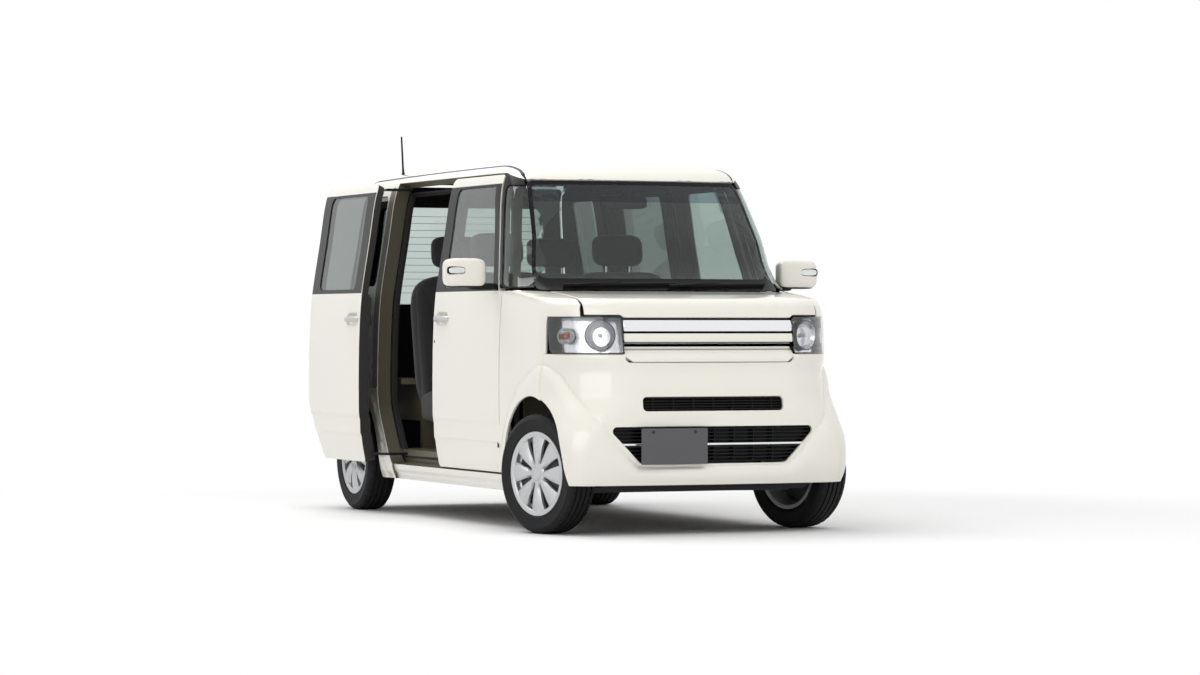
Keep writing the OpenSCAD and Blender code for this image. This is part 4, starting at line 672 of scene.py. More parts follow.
# %% Lines that the panels share, in metres
GAP = 0.008
SEAT_GAP = 0.0005
SILL, DOOR_BOTTOM, BELT, GLASS_TOP, DOOR_TOP = 0.180, 0.264, 1.130, 1.636, 1.692
WINDOW_FOOT = BELT + 0.020
SHUT_X, B_POST_X, SLIDE_FRONT_X, SLIDE_REAR_X = 0.780, -0.138, -0.146, -0.976
POST_LOW_X, POST_TOP_X, POST_W, REAR_POST_W = 0.735, 0.540, 0.070, 0.118
POST_LEAN = (POST_LOW_X - POST_TOP_X) / (DOOR_TOP - BELT)
FRONT_AXLE_X, REAR_AXLE_X, WHEEL_R = 1.2075, -1.3125, 0.2785
ARCH_R, REAR_ARCH_R = 0.366, 0.340
SLIDE_SHIFT = (-0.715, -0.137, 0)
FRONT_DOOR = [(B_POST_X, BELT), (B_POST_X, DOOR_BOTTOM, 0.02), (SHUT_X, DOOR_BOTTOM, 0.02),
              (SHUT_X, BELT, 0.01), (POST_LOW_X, BELT, 0.01), (POST_TOP_X, DOOR_TOP, 0.02),
              (B_POST_X + 0.011, DOOR_TOP, 0.04)]
FRONT_WINDOW = [(B_POST_X + REAR_POST_W, WINDOW_FOOT, 0.02),
                (POST_LOW_X - POST_W - 0.02 * POST_LEAN, WINDOW_FOOT, 0.02),
                (POST_TOP_X - POST_W + (DOOR_TOP - GLASS_TOP) * POST_LEAN, GLASS_TOP, 0.02),
                (B_POST_X + REAR_POST_W, GLASS_TOP, 0.04)]
SLIDE_DOOR = [(SLIDE_REAR_X + 0.180, DOOR_BOTTOM, 0.02), (SLIDE_FRONT_X, DOOR_BOTTOM, 0.02),
              (SLIDE_FRONT_X, DOOR_TOP, 0.04), (SLIDE_REAR_X, DOOR_TOP, 0.04), (SLIDE_REAR_X, 0.560, 0.08)]
SLIDE_WINDOW = [(SLIDE_REAR_X + REAR_POST_W, WINDOW_FOOT, 0.04),
                (SLIDE_FRONT_X - REAR_POST_W, WINDOW_FOOT, 0.04),
                (SLIDE_FRONT_X - REAR_POST_W, GLASS_TOP, 0.04), (SLIDE_REAR_X + REAR_POST_W, GLASS_TOP, 0.04)]
QUARTER = [(POST_LOW_X + 0.04, WINDOW_FOOT, 0.02), (0.985, WINDOW_FOOT, 0.01), (0.772, GLASS_TOP, 0.02),
           (POST_TOP_X + 0.04 + (DOOR_TOP - GLASS_TOP) * POST_LEAN, GLASS_TOP, 0.02)]
REAR_QUARTER = [(-1.490, WINDOW_FOOT + 0.02, 0.04), (-1.085, WINDOW_FOOT + 0.02, 0.04),
                (-1.085, GLASS_TOP, 0.04), (-1.490, GLASS_TOP, 0.04)]
SCREEN = [(-0.628, 1.135, 0.02), (0.628, 1.135, 0.02), (0.548, 1.662, 0.04), (-0.548, 1.662, 0.04)]
GRILLE_HALF, GRILLE_LOW = 0.428, 0.795
LAMP_LOW, LAMP_HIGH, LAMP_REAR_X = 0.834, 1.006, 1.340
WING_SPLIT_X, BONNET_HALF, BUMPER_LOW = 1.322, 0.590, 0.232


def arc(x, r, start, end, count=30):
    """Points on a wheel arch, from one angle to another."""
    angles = np.radians(np.linspace(start, end, count))
    return [(x + r * math.cos(a), WHEEL_R + r * math.sin(a)) for a in angles]


print("front door", len(rounded(FRONT_DOOR)), "points")

# %% [markdown]
# Sheet metal is not plain: the doors have a crease with a step below it, the wings and
# the bumper swell round the wheel, and the handles sit in pressed cups. Each of these
# is a height over the smooth skin, given by a short rule, and the panel maker moves
# its points by it before it works out the normals. The swelling has no simple form:
# its edge is a line of points, listed along the real one.

# %% Heights over the skin
def smooth(start, end, t):
    """0 before start, 1 after end and an even slope between."""
    t = np.clip((t - start) / (end - start), 0, 1)
    return t * t * (3 - 2 * t)


CREASE_Z, STEP_Z = 0.500, 0.407
CREASE_DEPTH, STEP_DEPTH, TUCK_DEPTH = 0.005, 0.006, 0.010
HANDLE_Z, HANDLE_HALF, CUP_R, CUP_DEPTH = 0.997, 0.085, 0.036, 0.024
FRONT_HANDLE_X, SLIDE_HANDLE_X = -0.020, -0.268


def crease(p):
    """The crease and the step along the foot of the doors."""
    z = p[:, 2]
    return -(CREASE_DEPTH * (1 - smooth(CREASE_Z - 0.006, CREASE_Z + 0.006, z))
             + STEP_DEPTH * (1 - smooth(STEP_Z - 0.008, STEP_Z + 0.006, z))
             + TUCK_DEPTH * (1 - smooth(DOOR_BOTTOM, STEP_Z, z)))


def cup(p, x):
    """The pressed cup behind a door handle: a long oval."""
    across = np.maximum(np.abs(p[:, 0] - x) - HANDLE_HALF + CUP_R, 0)
    far = np.hypot(across, p[:, 2] - HANDLE_Z)
    return -CUP_DEPTH * (1 - smooth(0.35, 1.0, far / CUP_R))


# The edge of the swelling, from the door over the wheel (along, up)
FLARE_LINE = points_on(side_rays, [(0.790, 0.375), (0.820, 0.448), (0.862, 0.519), (0.916, 0.590),
                                   (1.020, 0.672), (1.159, 0.739), (1.250, 0.772), (1.310, 0.783),
                                   (1.380, 0.770), (1.437, 0.730)])
# and on across the nose, round the intake, to the middle (across, up).
FLARE_NOSE = points_on(pane_rays, [(0.668, 0.674), (0.645, 0.625), (0.620, 0.575), (0.593, 0.535),
                                   (0.562, 0.504), (0.494, 0.417), (0.425, 0.346), (0.388, 0.322),
                                   (0.300, 0.318), (0.000, 0.318)])
FLARE_HEIGHT, NOSE_DEPTH, FLARE_WIDTH, GROOVE, GROOVE_WIDTH = 0.012, 0.024, 0.055, 0.0025, 0.006
NOSE_START_X, NOSE_FULL_X, LAMP_FADE, LAMP_FADE_LOW, LAMP_FADE_HIGH = 1.28, 1.46, 0.8, 0.735, 0.830
PAST_MIDDLE, ZONE_FOOT, ZONE_REACH = -0.05, 0.10, 0.3
flare_edge = seen_in(front_rays, np.vstack([FLARE_LINE, FLARE_NOSE]))
flare_edge[-1, 0] = PAST_MIDDLE
zone_end = flare_edge[0, 0] + ZONE_REACH
flare_zone = np.vstack([flare_edge, [(PAST_MIDDLE, ZONE_FOOT), (zone_end, ZONE_FOOT),
                                     (zone_end, flare_edge[0, 1])]])


def flare(p):
    """The swelling round the front wheel: a ridge on the wing, and on the bumper a sunk nose beside it."""
    q = seen_in(front_rays, np.stack([p[:, 0], np.abs(p[:, 1]), p[:, 2]], 1))
    far = distance_to(q, flare_edge, False)
    on = np.where(within(q, flare_zone), 1 - (1 - np.clip(far / FLARE_WIDTH, 0, 1)) ** 2, 0)
    ahead = smooth(NOSE_START_X, NOSE_FULL_X, p[:, 0])
    below = 1 - LAMP_FADE * smooth(LAMP_FADE_LOW, LAMP_FADE_HIGH, p[:, 2])
    groove = GROOVE * np.exp(-(far / GROOVE_WIDTH) ** 2)
    return FLARE_HEIGHT * (1 - ahead) * on - NOSE_DEPTH * below * ahead * (1 - on) - groove


REAR_FLARE_HEIGHT, REAR_FLARE_EDGE = 0.010, (0.055, 0.075)


def rear_flare(p):
    """A narrower lip round the rear wheel."""
    far = np.hypot(p[:, 0] - REAR_AXLE_X, p[:, 2] - WHEEL_R) - REAR_ARCH_R
    return REAR_FLARE_HEIGHT * (1 - smooth(*REAR_FLARE_EDGE, far))


print("flare line", np.round(FLARE_NOSE, 3).tolist())

# %% [markdown]
# The front doors: one pressed sheet each, as thick as a door below the glass and thin
# round it. The window's surround is black from the belt line to the top of the glass,
# and a painted strip runs above it.

# %% Front doors
SURROUND_TOP = GLASS_TOP + 0.012
DOOR_T, FRAME_T = 0.058, 0.036


def door_depth(flat):
    """A door is 58 mm thick, its window frame 36."""
    return DOOR_T - (DOOR_T - FRAME_T) * smooth(BELT - 0.012, BELT, flat[:, 1])


def surround(low_x, high_x):
    """The black zone round a window."""
    return rounded([(low_x, BELT), (high_x, BELT), (high_x, SURROUND_TOP), (low_x, SURROUND_TOP)])


def cup_zone(x):
    """A closer grid at a handle."""
    return ((x - 0.11, HANDLE_Z - 0.06), (x + 0.11, HANDLE_Z + 0.06), 0.007)


CREASE_ZONE = ((-1.2, 0.39), (1.0, 0.515), 0.011)
DOOR_MATS = [paint, gloss_black, lining]
for side in ("right", "left"):
    made = panel(f"front_door_skin_{side}", side_rays, rounded(FRONT_DOOR), DOOR_MATS, f"front_door_{side}",
                 holes=[rounded(FRONT_WINDOW)], thick=door_depth,
                 relief=lambda p: crease(p) + cup(p, FRONT_HANDLE_X),
                 zones=[(surround(-0.4, 0.9), 1)], fine=[CREASE_ZONE, cup_zone(FRONT_HANDLE_X)],
                 inner_mat=2, hole_mat=1, right=side == "right")
    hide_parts(f"front_door_{side}")
    print(made.name, len(made.data.polygons), "faces")

# %% [markdown]
# The sliding doors hang on rails and move out before they run back. Both are the same
# sheet as a front door, with darker glass. The right one stands open, so it is made in
# its shut place on the skin and then shifted as a whole.

# %% Sliding doors, the right one open
for side, shift in (("right", SLIDE_SHIFT), ("left", (0, 0, 0))):
    made = panel(f"sliding_door_skin_{side}", side_rays, rounded(SLIDE_DOOR), DOOR_MATS, "shell",
                 holes=[rounded(SLIDE_WINDOW)], thick=door_depth,
                 relief=lambda p: crease(p) + cup(p, SLIDE_HANDLE_X),
                 zones=[(surround(-1.2, 0.0), 1)], fine=[CREASE_ZONE, cup_zone(SLIDE_HANDLE_X)],
                 inner_mat=2, rim_mat=2, hole_mat=1, right=side == "right", shift=shift)
    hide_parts(f"sliding_door_{side}")
    print(made.name, len(made.data.polygons), "faces")

# %% [markdown]
# The wing wraps from the wheel arch up over the shoulder to the bonnet. Its chart is an
# arc round a line inside the shoulder, because a side view would see its top edge on.

# %% Wings
def on_chart(chart, *runs):
    """An outline on one chart from runs of points that other charts give."""
    return np.vstack([seen_in(chart, points_on(seen, pairs)) for seen, pairs in runs])


def line(a, b, count=12):
    """Evenly spaced pairs from a to b."""
    return [tuple(np.array(a) + (np.array(b) - np.array(a)) * t) for t in np.linspace(0, 1, count)]


WING_REAR_X = SHUT_X + GAP
split_angle = math.degrees(math.acos((WING_SPLIT_X - FRONT_AXLE_X) / ARCH_R))
low_angle = 180 - math.degrees(math.asin((DOOR_BOTTOM - WHEEL_R) / ARCH_R))
wing_runs = [
    (side_rays, line((WING_REAR_X, 1.1295), (WING_REAR_X, DOOR_BOTTOM), 30)),
    (side_rays, arc(FRONT_AXLE_X, ARCH_R, low_angle, split_angle, 40)),
    (side_rays, line((WING_SPLIT_X, 0.66), (WING_SPLIT_X, LAMP_LOW), 8)),
    (side_rays, line((LAMP_REAR_X - SEAT_GAP, LAMP_LOW), (LAMP_REAR_X - SEAT_GAP, LAMP_HIGH + SEAT_GAP), 8)),
    (front_rays, [(u, LAMP_HIGH + SEAT_GAP) for u in np.linspace(0.80, 0.655, 10)]),
    (lid_rays, line((1.48, BONNET_HALF + GAP), (1.10, BONNET_HALF + GAP), 16)),
    (pane_rays, [(0.620, 1.1255), (0.645, 1.1270), (0.665, 1.1280), (0.680, 1.1285)]),
    (side_rays, [(0.900, 1.1288), (0.840, 1.1292)]),
]
wing_outline = on_chart(shoulder_rays, *wing_runs)
for side in ("right", "left"):
    made = panel(f"wing_skin_{side}", shoulder_rays, wing_outline, [paint, trim_black], "shell", thick=0.010,
                 relief=flare, step=0.010, inner_mat=1, rim_mat=0, right=side == "right")
    print(made.name, len(made.data.polygons), "faces")
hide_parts("wings")
# %% [markdown]
# Some pieces are not sheets. Strips such as plating, seals and louvres are a small
# section carried along a line on the skin, and lamps, caps and wheels are turned from
# a profile. Two makers cover them all.

# %% Makers for strips and turned pieces
def swept(name, p, n, section, mats, body, closed=False, right=False, shift=(0, 0, 0)):
    """A section carried along points; its pairs are across the line and out along the normals."""
    p, n = np.asarray(p, float), np.asarray(n, float)
    if closed:
        along = np.roll(p, -1, axis=0) - np.roll(p, 1, axis=0)
    else:
        along = np.gradient(p, axis=0)
    across = np.cross(n, along)
    across /= np.linalg.norm(across, axis=1)[:, None] + 1e-12
    verts = np.concatenate([p + across * a + n * o for a, o in section])
    count, ring = len(p), len(section)
    faces = []
    for k in range(ring):
        m = (k + 1) % ring
        for j in range(count if closed else count - 1):
            i = (j + 1) % count
            faces.append((k * count + j, k * count + i, m * count + i, m * count + j))
    if not closed:
        faces.append([k * count for k in range(ring)])
        faces.append([k * count + count - 1 for k in range(ring)][::-1])
    if right:
        verts[:, 1] *= -1
        faces = [f[::-1] for f in faces]
    return new_object(name, verts + np.array(shift), faces, mats, body)


def strip(name, chart, pairs, wide, high, mats, body, sink=0.0, step=0.03, relief=None, **more):
    """A strip with a rounded top on the skin."""
    pairs = spaced_line(pairs, step)
    p, n = surface_with_normals(chart, pairs[:, 0], pairs[:, 1], relief)
    w, h = wide / 2, high
    section = [(-w, -0.3 * h), (-w, 0.55 * h), (-0.6 * w, 0.92 * h), (0, h), (0.6 * w, 0.92 * h),
               (w, 0.55 * h), (w, -0.3 * h)]
    return swept(name, p - n * sink, n, section, mats, body, **more)


def turned(name, profile, centre, axis, mats, body, count=48):
    """A profile of radius and height pairs turned round an axis."""
    axis = Vector(axis).normalized()
    side = axis.orthogonal().normalized()
    up = axis.cross(side)
    angles = np.linspace(0, 2 * math.pi, count, endpoint=False)
    ring = np.cos(angles)[:, None] * np.array(side) + np.sin(angles)[:, None] * np.array(up)
    verts = np.concatenate([np.array(centre) + ring * r + np.array(axis) * h for r, h in profile])
    faces = []
    for k in range(len(profile) - 1):
        for j in range(count):
            i = (j + 1) % count
            faces.append((k * count + j, k * count + i, (k + 1) * count + i, (k + 1) * count + j))
    return new_object(name, verts, faces, mats, body)


def block(low, high):
    """Corners and faces of a box."""
    (x0, y0, z0), (x1, y1, z1) = low, high
    verts = [(x, y, z) for z in (z0, z1) for y in (y0, y1) for x in (x0, x1)]
    return verts, [(0, 2, 3, 1), (4, 5, 7, 6), (0, 1, 5, 4), (1, 3, 7, 5), (3, 2, 6, 7), (2, 0, 4, 6)]


def both_halves(half, flip=(-1, 1)):
    """A closed outline from its left half, which starts and ends on the centre line."""
    return np.vstack([half, (half * np.array(flip))[::-1][1:-1]])


print("a block has", len(block((0, 0, 0), (1, 1, 1))[1]), "faces")

# %% [markdown]
# The bonnet is short and steep, so its chart turns round a line above the front axle:
# the front edge looks ahead and the rear edge looks up. It ends over the lamps in the
# middle of their top edge and dips to the grille between them.

# %% Bonnet
HOOD_REAR_MID_X, HOOD_REAR_X, HOOD_NOSE_Z = 1.156, 1.088, 1.002
rear_y = np.linspace(0, BONNET_HALF - 0.012, 14)
hood_left = on_chart(
    hood_rays,
    (lid_rays, [(HOOD_REAR_MID_X - (HOOD_REAR_MID_X - HOOD_REAR_X) * (y / BONNET_HALF) ** 2, y)
                for y in rear_y]),
    (lid_rays, line((HOOD_REAR_X + 0.012, BONNET_HALF), (1.46, BONNET_HALF), 20)),
    (pane_rays, line((BONNET_HALF, LAMP_HIGH + GAP), (GRILLE_HALF + 0.01, LAMP_HIGH + GAP), 8)),
    (pane_rays, line((GRILLE_HALF - GAP, HOOD_NOSE_Z), (0, HOOD_NOSE_Z), 16)))
hood_outline = both_halves(hood_left, (1, -1))
hood = panel("bonnet_skin", hood_rays, hood_outline, [paint, trim_black], "bonnet", thick=0.011, edge=0.004,
             step=0.02, inner_mat=1)
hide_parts("bonnet")
print("bonnet", len(hood.data.polygons), "faces")

# %% [markdown]
# The bumper is one moulding from arch to arch. A front view bent round the corners
# keeps its grid even, and both intakes are holes in it. Its nose lies a little lower
# than its cheeks, and the edge between them runs on along the slanted intake.

# %% Front bumper
SLIT = [(-0.366, 0.573, 0.02), (0.366, 0.573, 0.02), (0.366, 0.638, 0.02), (-0.366, 0.638, 0.02)]
INTAKE = [(-0.377, 0.330, 0.04), (0.377, 0.330, 0.04), (0.547, 0.501, 0.02), (-0.547, 0.501, 0.02)]
low_reach = math.sqrt(ARCH_R ** 2 - (WHEEL_R - BUMPER_LOW) ** 2)
low_turn = -math.degrees(math.asin((WHEEL_R - BUMPER_LOW) / ARCH_R))
split_turn = math.degrees(math.acos((WING_SPLIT_X + SEAT_GAP - FRONT_AXLE_X) / ARCH_R))
foot = seen_in(front_rays, points_on(side_rays, [(FRONT_AXLE_X + low_reach, BUMPER_LOW)]))[0]
head = seen_in(front_rays, points_on(side_rays, [(WING_SPLIT_X + SEAT_GAP, LAMP_LOW - SEAT_GAP)]))[0]
neck = seen_in(front_rays, points_on(pane_rays, [(GRILLE_HALF + SEAT_GAP, LAMP_LOW - SEAT_GAP)]))[0]
bumper_left = np.vstack([
    line((0, BUMPER_LOW), (foot[0] - 0.01, BUMPER_LOW), 20),
    seen_in(front_rays, points_on(side_rays, arc(FRONT_AXLE_X, ARCH_R, low_turn, split_turn, 36))),
    seen_in(front_rays, points_on(side_rays,
                                  line((WING_SPLIT_X + SEAT_GAP, 0.64),
                                       (WING_SPLIT_X + SEAT_GAP, LAMP_LOW - 0.01), 8))),
    line(head, neck, 20),
    seen_in(front_rays, points_on(pane_rays,
                                  line((GRILLE_HALF + SEAT_GAP, GRILLE_LOW + 0.012),
                                       (GRILLE_HALF - 0.012, GRILLE_LOW), 4))),
    line((neck[0] - 0.03, GRILLE_LOW), (0, GRILLE_LOW), 14)])
bumper_outline = both_halves(bumper_left)
slit_hole = seen_in(front_rays, points_on(pane_rays, spaced(rounded(SLIT), 0.03)))
intake_hole = seen_in(front_rays, points_on(pane_rays, spaced(rounded(INTAKE), 0.03)))
bumper = panel("front_bumper_skin", front_rays, bumper_outline, [paint, trim_black], "shell",
               holes=[slit_hole, intake_hole], thick=0.016, relief=flare, step=0.016, edge=0.004, inner_mat=1,
               fine=[((0.02, 0.29), (0.92, 0.80), 0.009), ((-0.92, 0.29), (-0.02, 0.80), 0.009)])
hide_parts("front_bumper")
panel("under_tray", front_rays, rounded([(-0.50, 0.186), (0.50, 0.186), (0.53, 0.240), (-0.53, 0.240)]),
      [trim_black], "shell", thick=0.010, sink=0.030, step=0.03)
print("bumper", len(bumper.data.polygons), "faces")

# %% [markdown]
# Grille: a plated bar along the top, a painted bar, a thin plated strip in the dark gap
# and a deep painted bar with cut lower corners. The bars are pressed hollow on the real
# car; here each is a sheet with a crowned face. Behind everything lie fine louvres,
# swept along the nose, and the number plate is a plain blank sheet on two bolts.

# %% Grille, intakes and the blank number plate
def crowned(low, high, amount):
    """A relief that sinks towards the upper and lower edge of a bar."""
    return lambda p: -amount * ((p[:, 2] - low) / (high - low) * 2 - 1) ** 2


def grille_sheet(name, corners, mat, sink, depth, crown):
    """One bar of the grille with a crowned face."""
    low, high = corners[0][1], corners[2][1]
    return panel(name, pane_rays, rounded(corners), [mat], "shell", thick=depth, sink=sink, step=0.02,
                 edge=0.004, relief=crowned(low, high, crown))


def level_bar(half, low, high, r):
    """The corners of a level bar."""
    return [(-half, low, r), (half, low, r), (half, high, r), (-half, high, r)]


W = GRILLE_HALF - SEAT_GAP
BAR_FOOT, BAR_KNEE, BAR_HEAD, BAR_CUT = GRILLE_LOW, 0.828, 0.862, 0.035
lower_bar = [(-W + BAR_CUT, BAR_FOOT, 0.01), (W - BAR_CUT, BAR_FOOT, 0.01), (W, BAR_KNEE, 0.01),
             (W, BAR_HEAD, 0.006), (-W, BAR_HEAD, 0.006), (-W, BAR_KNEE, 0.01)]
bars = [grille_sheet("grille_lower_bar", lower_bar, paint, 0.002, 0.03, 0.004),
        grille_sheet("grille_upper_bar", level_bar(W, 0.887, 0.931, 0.006), paint, 0.002, 0.03, 0.005)]
plated = [grille_sheet("grille_top_trim", level_bar(W, 0.936, 0.992, 0.008), chrome, 0.0, 0.03, 0.008),
          grille_sheet("grille_thin_trim", level_bar(W, 0.870, 0.879, 0.003), chrome, 0.012, 0.02, 0.002)]
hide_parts("grille_bars")
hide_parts("grille_trim")
back_sheet = panel("grille_back", pane_rays, rounded(level_bar(W, 0.797, 0.990, 0.01)), [trim_black], "shell",
                   sink=0.045, thick=0.004, step=0.04)
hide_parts("intake_grilles")


def louvre_run(name, corners, pitch, sink):
    """Louvres across an opening, cut to its outline."""
    loop = rounded(grown(corners, -0.002))
    low, high = loop[:, 1].min(), loop[:, 1].max()
    for k, z in enumerate(np.arange(low + pitch * 0.6, high - 0.003, pitch)):
        across = np.linspace(-0.6, 0.6, 241)
        inside = across[within(np.stack([across, np.full(len(across), z)], 1), loop)]
        pairs = [(y, z) for y in np.linspace(inside.min(), inside.max(), 34)]
        p, n = surface_with_normals(pane_rays, np.array(pairs)[:, 0], np.array(pairs)[:, 1], flare)
        section = [(-0.0022, 0), (0.0022, 0), (0.0035, -0.016), (-0.0010, -0.016)]
        swept(f"{name}_{k}", p - n * sink, n, section, [trim_black], "shell")
    for k, y in enumerate(np.linspace(-0.30, 0.30, 7)):
        pairs = np.array(line((y, low + 0.003), (y, high - 0.003), 8))
        p, n = surface_with_normals(pane_rays, pairs[:, 0], pairs[:, 1], flare)
        swept(f"{name}_stay_{k}", p - n * (sink + 0.004), n,
              [(-0.002, 0), (0.002, 0), (0.002, -0.02), (-0.002, -0.02)], [trim_black], "shell")
    return panel(f"{name}_back", pane_rays, loop, [gloss_black], "shell", sink=sink + 0.03, thick=0.003,
                 relief=flare, step=0.04)


louvre_run("slit_louvre", SLIT, 0.0125, 0.010)
louvre_run("intake_louvre", INTAKE, 0.0165, 0.010)
strip("intake_trim", pane_rays, line((-0.455, 0.420), (0.455, 0.420), 30), 0.009, 0.005, [chrome], "shell",
      sink=0.008, relief=flare)
PLATE_Y, PLATE_Z, PLATE_SIZE = -0.2155, 0.4125, (0.330, 0.165)
PLATE_FRONT_X, PLATE_T, BOLT_OUT, BOLT_UP = 1.694, 0.003, 0.105, 0.066
verts, faces = block((PLATE_FRONT_X - PLATE_T, PLATE_Y - PLATE_SIZE[0] / 2, PLATE_Z - PLATE_SIZE[1] / 2),
                     (PLATE_FRONT_X, PLATE_Y + PLATE_SIZE[0] / 2, PLATE_Z + PLATE_SIZE[1] / 2))
plate = new_object("number_plate", verts, faces, [plate_grey], "shell")
for dy in (-BOLT_OUT, BOLT_OUT):
    turned(f"plate_bolt_{dy}", [(0.0001, 0.004), (0.006, 0.004), (0.008, 0.0)],
           (PLATE_FRONT_X, PLATE_Y + dy, PLATE_Z + BOLT_UP), (1, 0, 0), [dark_metal], "shell", 16)
print("plate", plate.dimensions)

# %% [markdown]
# A headlamp is a clear cover over a dark silver housing: a round bowl with a lamp in it
# next to the grille, and a second small bowl for the direction lamp outboard. The bowl is
# a turned dish, plated inside, which is why it shows bright rings.

# %% Headlamps
inner_low = seen_in(front_rays, points_on(pane_rays, [(GRILLE_HALF + 0.001, LAMP_LOW)]))[0, 0]
inner_high = seen_in(front_rays, points_on(pane_rays, [(GRILLE_HALF + 0.001, LAMP_HIGH)]))[0, 0]
outer_low = seen_in(front_rays, points_on(side_rays, [(LAMP_REAR_X + 0.03, LAMP_LOW)]))[0, 0]
outer_high = seen_in(front_rays, points_on(side_rays, [(LAMP_REAR_X, LAMP_HIGH)]))[0, 0]
LAMP = [(inner_low, LAMP_LOW, 0.012), (outer_low, LAMP_LOW, 0.03), (outer_high, LAMP_HIGH, 0.02),
        (inner_high, LAMP_HIGH, 0.02)]
# name, across, up, radius, lean outwards in radians
LAMP_BOWLS = (("main", 0.522, 0.919, 0.066, 0.40), ("turn", 0.652, 0.915, 0.033, 0.95))
BOWL_SINK = 0.030
for side in ("right", "left"):
    flip = side == "right"
    cover = panel(f"lamp_cover_{side}", front_rays, rounded(LAMP), [lamp_glass], "shell", thick=0.004,
                  sink=0.001, step=0.022, edge=0.0015, right=flip)
    housing = panel(f"lamp_housing_{side}", front_rays, rounded(grown(LAMP, -0.001)),
                    [lamp_silver, gloss_black], "shell", thick=0.01, sink=0.055, step=0.03, right=flip)
    rim = rounded(grown(LAMP, -0.004))
    pairs = spaced(rim, 0.02)
    p, n = surface_with_normals(front_rays, pairs[:, 0], pairs[:, 1])
    wall = [(-0.003, 0), (0.003, 0), (0.003, -0.048), (-0.003, -0.048)]
    swept(f"lamp_frame_{side}", p - n * 0.007, n, wall, [gloss_black], "shell", closed=True, right=flip)
    if side == "left":
        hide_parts("headlamp_lenses")
        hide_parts("headlamp_bowls")
    sign = -1 if flip else 1
    for label, y, z, r, lean in LAMP_BOWLS:
        face = points_on(pane_rays, [(y, z)])[0]
        aim = Vector((math.cos(lean), math.sin(lean) * sign, 0.0))
        centre = (face[0] - BOWL_SINK, face[1] * sign, face[2])
        dish = [(r, 0.0), (r * 0.985, -0.001), (r * 0.92, -0.012), (r * 0.72, -0.027), (r * 0.42, -0.037),
                (r * 0.2, -0.040), (0.0005, -0.040)]
        turned(f"lamp_{label}_bowl_{side}", dish, centre, aim, [reflector], "shell", 48)
        ring = [(r, -0.03), (r + 0.004, -0.03), (r + 0.005, 0.002), (r + 0.0025, 0.004), (r, 0.0015)]
        turned(f"lamp_{label}_ring_{side}", ring, centre, aim, [dark_metal if label == "main" else silver],
               "shell", 48)
        bulb = [(0.0005, 0.0), (0.006, -0.001), (0.009, -0.006), (0.010, -0.02), (0.010, -0.039)]
        turned(f"lamp_{label}_bulb_{side}", [(q, h - 0.004) for q, h in bulb], centre, aim,
               [silver if label == "main" else amber], "shell", 24)
print("lamps done")

# %% [markdown]
# The side of the body round the doors is one pressing on the real car. Here it is cut at
# two seams that are invisible, because the surface runs on through them: a sill, a rail
# over the doors, the quarter panel round the tail's corner and the black post beside the
# windscreen. They are as deep as the door, so their rims make the jambs.

# %% Body sides
JAMB, ROOF_HALF = 0.070, 0.5455
SEAM_X, SILL_END_X = SLIDE_REAR_X - GAP, SLIDE_REAR_X + 0.180 - GAP
DOOR_FOOT, DOOR_HEAD = DOOR_BOTTOM - GAP, DOOR_TOP + GAP
REAR_SPLIT, BUMPER_FRONT_X = 0.505, -1.580
LAMP_FRONT_X, TAIL_LAMP_LOW, TAIL_LAMP_HIGH = -1.610, 0.760, 1.190
GATE_HALF, GATE_HEAD_HALF, GATE_TOP = 0.600, 0.543, 1.708
post_gap = GAP * math.hypot(1, POST_LEAN)
corner_screen = (ROOF_HALF + 0.003, 1.6645)


def sill_relief(p):
    """The sill lies under the door's foot, with a groove between its two steps."""
    z = p[:, 2]
    groove = np.exp(-((z - 0.213) / 0.006) ** 2)
    return -0.011 - 0.004 * groove - 0.004 * (1 - smooth(0.205, 0.222, z))


def quarter_depth(flat):
    """Deep at the door opening, thin round the window and the tail."""
    return JAMB - (JAMB - 0.02) * smooth(1.19, 1.12, flat[:, 0])


